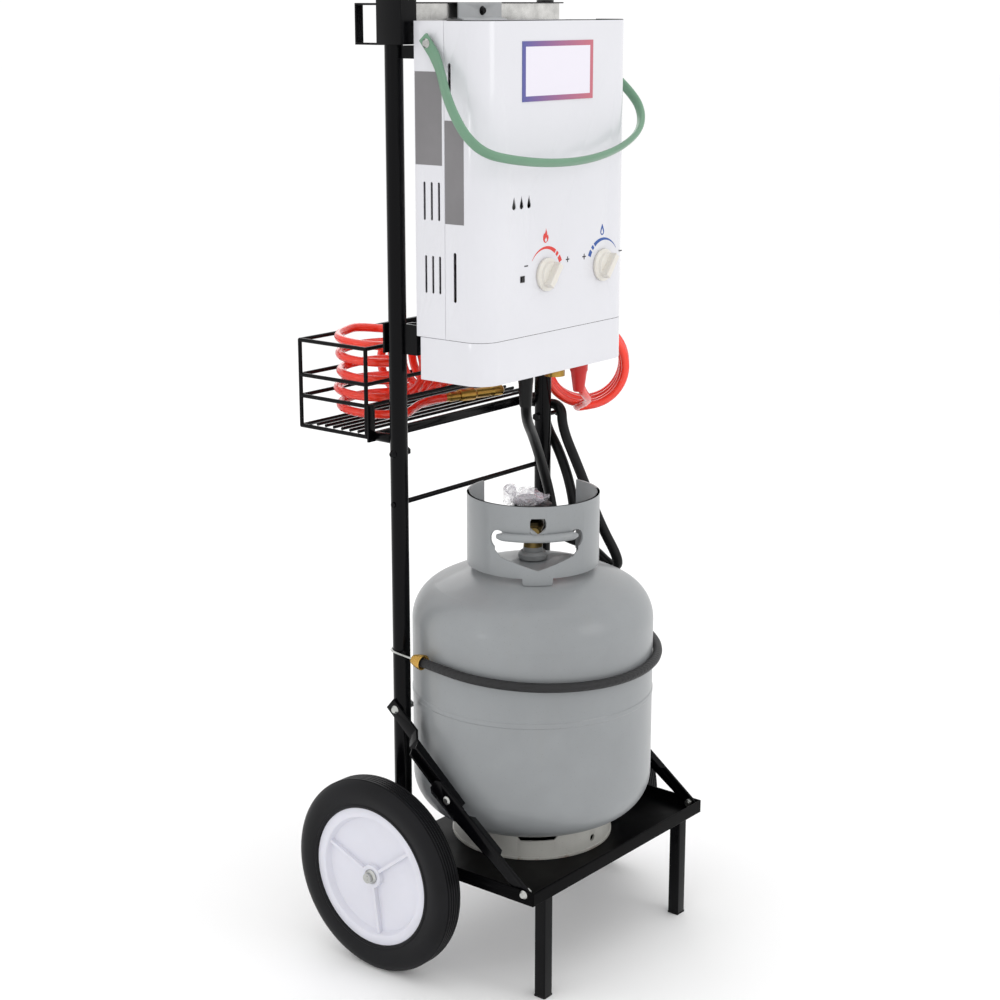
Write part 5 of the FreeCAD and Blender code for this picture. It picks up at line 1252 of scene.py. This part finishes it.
@dataclass
class Heater:
    """The instantaneous water heater."""

    front_y: float = -136.3
    dial_z: float = 879.0
    gas_x: float = -26.5
    water_x: float = 89.0
    arc_r: float = 34.0
    pivot: Point = (152.0, -58.0, 1152.0)
    lean: float = 40.5
    cover_half: float = 146.1
    cover_corner: float = 28.0
    seam_z: float = 808.25
    rim_z: float = 1177.2
    # painted shadow strips in the heater's seams: how far back they run and how deep they go
    shadow_strip_back: float = -82.0
    shadow_strip_depth: float = 2.4
    flame_z: float = 917.0
    drop_z: float = 915.5
    signs: Sequence[tuple[float, float, float]] = (
        (-66, 7, 1.5), (16, 7, 1.5), (16, 1.5, 7), (50, 7, 1.5), (50, 1.5, 7), (127, 6, 1.5))
    signs_z: float = 893.0
    bow: Sequence[tuple[float, float]] = (
        (-152, -9), (-152, 6), (-152.5, 18), (-160, 42), (-174, 70), (-184, 104), (-186, 134),
        (-172, 158), (-130, 170), (-70, 179), (0, 180), (70, 170), (124, 153), (157, 134), (177, 108),
        (176, 82), (162, 50), (153, 20), (152, 6), (152, -9))

    def build(self) -> None:
        """Finish the heater's nodes and model the bail and the dial marks."""
        for node in ("rear_casing", "front_cover", "lower_cover"):
            softened(node, 0.7, WHITE_COAT, "cart")
        # painted shadow: black strips in the cover seam and along the top edge, where the gaps lie in shade
        self.shadow_strip("cover_seam_painted_shadow", self.seam_z, 1.5, 0.4)
        self.shadow_strip("top_edge_painted_shadow", self.rim_z, 1.4, 0.5)
        self.bail()
        self.dial_marks()
        dress(GRILLE_BLACK, "top_grille")
        dress(SHEET_STEEL, "heater_works")
        dress(COPPER, "inner_pipes")
        dress(BRASS, "heater_valves")
        dress(BLACK_ABS, "ignition_box", "switch_housing", "switch_slider")
        softened("gas_knob", 0.7, IVORY_ABS, "gas_dial")
        softened("water_knob", 0.7, IVORY_ABS, "water_dial")
        dress(ZINC, "bail_screws")
        dress(BADGE, "badge")
        dress(GREY_STICKER, "side_labels")

    def shadow_strip(self, name: str, height: float, thickness: float, inset: float) -> None:
        """Lay a black strip of painted shadow in a seam round the heater's front.

        Args:
            name: The piece's name.
            height: Height of its middle on the drawing, in millimetres.
            thickness: Its height.
            inset: How far it lies behind the covers' faces.
        """
        side, corner, depth = self.cover_half - inset, self.cover_corner - inset, self.shadow_strip_depth
        path = [(-side, self.shadow_strip_back, -1.0, 0.0)]
        for middle_x, begin in ((-side + corner, 180), (side - corner, 270)):
            for step in range(9):
                turn = math.radians(begin + 90 * step / 8)
                path.append((middle_x + corner * math.cos(turn),
                             self.front_y + inset + corner + corner * math.sin(turn),
                             math.cos(turn), math.sin(turn)))
        path.append((side, self.shadow_strip_back, 1.0, 0.0))
        half = thickness / 2
        rings = [[place(x - nx * d, y - ny * d, height + z) for d, z in
                  ((0, -half), (0, half), (depth, half), (depth, -half))] for x, y, nx, ny in path]
        # The painted shadow takes the black rubber finish of the feet for its colour.
        keep(swept(name, rings), "cart", FOOT_RUBBER)

    def bail(self) -> None:
        """Sweep the bail: flat lugs at its pivots, a rounded band between them."""
        lean = math.radians(self.lean)
        down = Vector((0, -math.sin(lean), -math.cos(lean)))
        square = Vector((0, -math.cos(lean), math.sin(lean)))
        hinge = place(0, *self.pivot[1:])
        spine = line_points([Vector((x / 1000, 0, 0)) + hinge + down * (reach / 1000)
                             for x, reach in self.bow], 6)
        rings = []
        for index, spot in enumerate(spine):
            ahead = spine[min(index + 1, len(spine) - 1)] - spine[max(index - 1, 0)]
            outward = ahead.cross(square).normalized()
            reach = (spot - hinge).dot(down)
            share = min(1.0, max(0.0, (reach - 0.022) / 0.016))
            half_out, half_wide = 2.2 + 1.7 * share, 6.9 - 0.9 * share
            power = 0.35 + 0.5 * share
            ring = []
            for step in range(20):
                turn = 2 * math.pi * step / 20
                cos, sin = math.cos(turn), math.sin(turn)
                ring.append(spot + (outward * math.copysign(abs(cos) ** power, cos) * half_out
                                    + square * math.copysign(abs(sin) ** power, sin) * half_wide) / 1000)
            rings.append(ring)
        bail = swept("bail_handle_band", rings)
        shade(bail, 40)
        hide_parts("bail_handle")
        keep(bail, "bail", SAGE_PP)

    def arc(self, x: float, first: float, last: float, thin: float,
            thick: float) -> list[tuple[float, float]]:
        """Outline of a dial's arc that widens from its first end to its last.

        Args:
            x: Middle of the dial.
            first: Degrees at the first end, from the right, anticlockwise.
            last: Degrees at the last end.
            thin: Width at the first end.
            thick: Width at the last end.

        Returns:
            X and Z of its corners in millimetres.
        """
        steps = max(2, round(abs(last - first) / 6))
        outer, inner = [], []
        for step in range(steps + 1):
            turn = math.radians(first + (last - first) * step / steps)
            width = thin + (thick - thin) * step / steps
            for side, radius in ((outer, self.arc_r), (inner, self.arc_r - width)):
                side.append((x + radius * math.cos(turn), self.dial_z + radius * math.sin(turn)))
        return outer + inner[::-1]

    def dial_marks(self) -> None:
        """Print a widening arc, a flame and a drop, and plain plus and minus marks."""
        gas = [stencil("gas_arc", self.arc(self.gas_x, *arc), self.front_y)
               for arc in ((146, 56, 0.4, 5.0), (52, 44, 5.0, 5.4), (39, 25, 5.4, 6.0))]
        flame = [(0, 0), (4.2, 2.2), (5.6, 6.2), (4.4, 9.6), (2.9, 8.4), (2.6, 12.2), (0.4, 17.4),
                 (-0.7, 13.2), (-2.4, 10.8), (-3.2, 12.2), (-5.2, 8.6), (-5.2, 4.0), (-3.2, 1.0)]
        flame_x, drop_x = self.gas_x - 1.5, self.water_x - 1.5
        gas.append(stencil("flame", [(flame_x + x, self.flame_z + z) for x, z in flame], self.front_y))
        keep(joined("gas_dial_marks", gas), "cart", RED_INK)
        core = [(0, 1.2), (1.9, 2.4), (2.1, 4.4), (0.5, 6.8), (-0.4, 5.6), (-1.9, 4.2), (-1.6, 2.2)]
        keep(stencil("flame_core", [(flame_x + x, self.flame_z + z) for x, z in core], self.front_y, 0.3),
             "cart", WHITE_COAT)
        water = [stencil("water_arc", self.arc(self.water_x, *arc), self.front_y)
                 for arc in ((34, 124, 0.4, 5.0), (128, 136, 5.0, 5.4), (141, 155, 5.4, 6.0))]
        drop = [(3.9 * math.sin(math.radians(a)) * min(1.0, (1.35 + math.cos(math.radians(a))) / 1.1),
                 5.0 - (4.4 if abs(a) < 100 else 10.6) * math.cos(math.radians(a))
                 - (0 if abs(a) < 100 else 1.1)) for a in range(-180, 180, 20)]
        water.append(stencil("drop", [(drop_x + x, self.drop_z + z) for x, z in drop], self.front_y))
        keep(joined("water_dial_marks", water), "cart", BLUE_INK)
        keep(stencil("drop_core", [(drop_x - 0.4 + 0.5 * x, self.drop_z + 2 + 0.5 * z) for x, z in drop],
                     self.front_y, 0.3), "cart", WHITE_COAT)
        bars = []
        for x, long, tall in self.signs:
            bars.append(stencil("sign", [(x + across * long / 2, self.signs_z + up * tall / 2)
                                         for across, up in ((-1, -1), (1, -1), (1, 1), (-1, 1))],
                                self.front_y, 0.15 + 0.02 * len(bars)))
        keep(joined("plus_and_minus_marks", bars), "cart", DARK_INK)


@dataclass
class Strap:
    """The elastic strap round the cylinder, with wound brass ends and wire hooks."""

    height: float = 403.0
    tilt: float = 3.3
    axis_y: float = -97.2
    tank_r: float = 155.1
    cord_r: float = 6.0
    clear: float = 0.55
    tube_x: float = 145.1
    tube_r: float = 11.1
    hook_r: float = 1.4
    free: float = 46.0
    coils: int = 7
    wire_r: float = 1.25

    def lay(self, x: float, y: float, z: float) -> Vector:
        """Place a point of the level strap on the drawing where the tilted strap has it.

        Args:
            x: Its X on the drawing.
            y: Its Y.
            z: Its height.

        Returns:
            The place in metres.
        """
        turn = math.radians(self.tilt)
        rise = z - self.height
        return place(x, y * math.cos(turn) - rise * math.sin(turn),
                     self.height + y * math.sin(turn) + rise * math.cos(turn))

    def build(self) -> None:
        """Lay the cord, wind the ends and bend the hooks."""
        big = self.tank_r + self.cord_r + self.clear
        small = self.tube_r + self.hook_r + 0.2
        gap = math.hypot(self.tube_x, self.axis_y)
        turn = math.atan2(-self.axis_y, -self.tube_x) + math.acos((big - small) / gap)
        on_tank = Vector((big * math.cos(turn), self.axis_y + big * math.sin(turn)))
        on_tube = Vector((-self.tube_x + small * math.cos(turn), small * math.sin(turn)))
        reach = (on_tube - on_tank).normalized()
        begin = on_tube - reach * self.free
        self.cord(big, turn, begin, on_tank)
        for side in Side:
            self.coil(side, begin - reach * 4, reach)
            self.hook(side, begin + reach * 2, on_tube, small, turn)

    def cord(self, big: float, turn: float, begin: Vector, on_tank: Vector) -> None:
        """Lay the braided cord from one spring round the cylinder to the other.

        Args:
            big: Radius of the cord's line round the cylinder.
            turn: Angle at which it leaves the cylinder, in radians.
            begin: Where it starts at the left.
            on_tank: Where it meets the cylinder.
        """
        steps = 40
        sweep = 3 * math.pi - 2 * turn
        swell = 1 / math.cos(sweep / steps / 2)
        arc = [(big * swell * math.cos(turn + sweep * (step + 0.5) / steps),
                self.axis_y + big * swell * math.sin(turn + sweep * (step + 0.5) / steps))
               for step in range(steps)]
        half = (begin + on_tank) / 2
        run = [tuple(begin), tuple(half)] + arc + [(-half.x, half.y), (-begin.x, begin.y)]
        cord = nurbs("strap_cord_braided", [self.lay(x, y, self.height) for x, y in run],
                     self.cord_r / 1000, 4, 5)
        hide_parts("strap_cord")
        keep(cord, "cart", ELASTIC)

    def coil(self, side: Side, foot: Vector, reach: Vector) -> None:
        """Wind the brass end: close turns that narrow towards the hook.

        Args:
            side: Which end.
            foot: Where the coil starts, on the drawing, at the left.
            reach: Unit vector along the coil at the left.
        """
        start("circle", vertices=10, radius=self.wire_r, location=(9.0, 0, 0),
              rotation=(math.radians(90), 0, 0))
        wire = settle(f"strap_spring_{side.name.lower()}")
        finish_with(wire, "SCREW", axis="Z", angle=2 * math.pi * self.coils,
                    screw_offset=2 * self.wire_r * self.coils, steps=24 * self.coils,
                    render_steps=24 * self.coils, use_merge_vertices=False)
        bpy.ops.object.mode_set(mode="EDIT")
        long = 2 * self.wire_r * self.coils
        along = Vector((side.value * -reach.x, reach.y, 0))
        across = Vector((along.y, -along.x, 0))

        def seat(spot: Vector) -> Vector:
            """Taper a point of the upright coil and lay it along the strap.

            Args:
                spot: The point as it was wound.

            Returns:
                Its place in metres.
            """
            share = max(0.0, min(1.0, spot.z / long))
            wide = 1.0 - 0.42 * share ** 1.6
            flat = (Vector((side.value * -foot.x, foot.y, 0)) + along * spot.z + across * spot.x * wide)
            return self.lay(flat.x, flat.y, self.height + spot.y * wide)

        shape_points(seat)
        bpy.ops.mesh.select_all(action="SELECT")
        bpy.ops.mesh.normals_make_consistent(inside=False)
        wire = settle(wire.name)
        shade(wire, 60)
        if side is Side.LEFT:
            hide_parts("strap_ends")
        keep(wire, "cart", SPRING_BRASS)

    def hook(self, side: Side, begin: Vector, on_tube: Vector, small: float, turn: float) -> None:
        """Bend the wire hook from the coil round the outside of the upright.

        Args:
            side: Which end.
            begin: Where it leaves the coil, on the drawing, at the left.
            on_tube: Where it meets the upright.
            small: Radius of its bend.
            turn: Angle at which it meets the upright, in radians.
        """
        points = [(begin.x, begin.y), ((begin.x + on_tube.x) / 2, (begin.y + on_tube.y) / 2),
                  (on_tube.x, on_tube.y)]
        for degrees in (36, 72, 108, 140):
            spot = turn - math.radians(degrees)
            points.append((-self.tube_x + small * 1.06 * math.cos(spot), small * 1.06 * math.sin(spot)))
        rod = nurbs(f"strap_hook_{side.name.lower()}",
                    [self.lay(-side.value * x, y, self.height) for x, y in points],
                    self.hook_r / 1000, 6, 4)
        keep(rod, "cart", ZINC)


@dataclass
class Studio:
    """Pale floor, soft lights and the camera at the photograph's angle."""

    camera_place: Point = (-1.8809, -1.50755, 1.19665)
    camera_turn: Point = (75.62, 0.0, -51.09)
    lens: float = 69.76
    lights: Sequence = (
        ("key", (0.6, -3.6, 2.4), (0.0, 0.0, 0.7), 1.6, 15.0),
        ("left", (-3.4, 0.6, 1.5), (0.0, 0.0, 0.6), 0.5, 4.0),
        ("back", (2.2, 2.8, 2.2), (0.0, 0.0, 0.6), 1.6, 11.0),
        ("top", (0.2, 0.2, 3.6), (0.0, 0.0, 0.6), 2.4, 8.0),
    )

    def build(self) -> None:
        """Place the floor, the world, the lights and the camera."""
        bpy.ops.object.select_all(action="DESELECT")
        bpy.ops.mesh.primitive_plane_add(size=60.0, location=(0, 0, 0))
        floor = settle("studio_floor")
        paint = Finish("Plain pale floor", "fcfcfc", 0.9, 0.0, 5.0, 0.0)
        floor.data.materials.append(paint.material())
        world = bpy.data.worlds.new("studio_world")
        world.use_nodes = True
        sky = world.node_tree.nodes["Background"]
        sky.inputs["Color"].default_value = linear("ffffff")
        sky.inputs["Strength"].default_value = 1.04
        bpy.context.scene.world = world
        bpy.context.scene.view_settings.view_transform = "Standard"
        for name, spot, target, size, power in self.lights:
            lamp = bpy.data.lights.new(name, "AREA")
            lamp.size, lamp.energy = size, power
            light = bpy.data.objects.new(name, lamp)
            light.location = spot
            aim = Vector(target) - Vector(spot)
            light.rotation_euler = aim.to_track_quat("-Z", "Y").to_euler()
            bpy.context.scene.collection.objects.link(light)
        lens = bpy.data.cameras.new("camera")
        lens.lens, lens.sensor_width = self.lens, 36.0
        lens.clip_end = 100.0
        camera = bpy.data.objects.new("camera", lens)
        camera.location = self.camera_place
        camera.rotation_euler = tuple(math.radians(a) for a in self.camera_turn)
        bpy.context.scene.collection.objects.link(camera)
        bpy.context.scene.camera = camera
        log.info("studio ready")


def main() -> None:
    """Build every sub-assembly in order."""
    Studio().build()
    GasHose().build()
    RecoilHose().build()
    Cart().build()
    for side in Side:
        Wheel(side).build()
    Cylinder().build()
    Heater().build()
    Strap().build()
    bpy.context.view_layer.update()


if __name__ == "__main__":
    main()
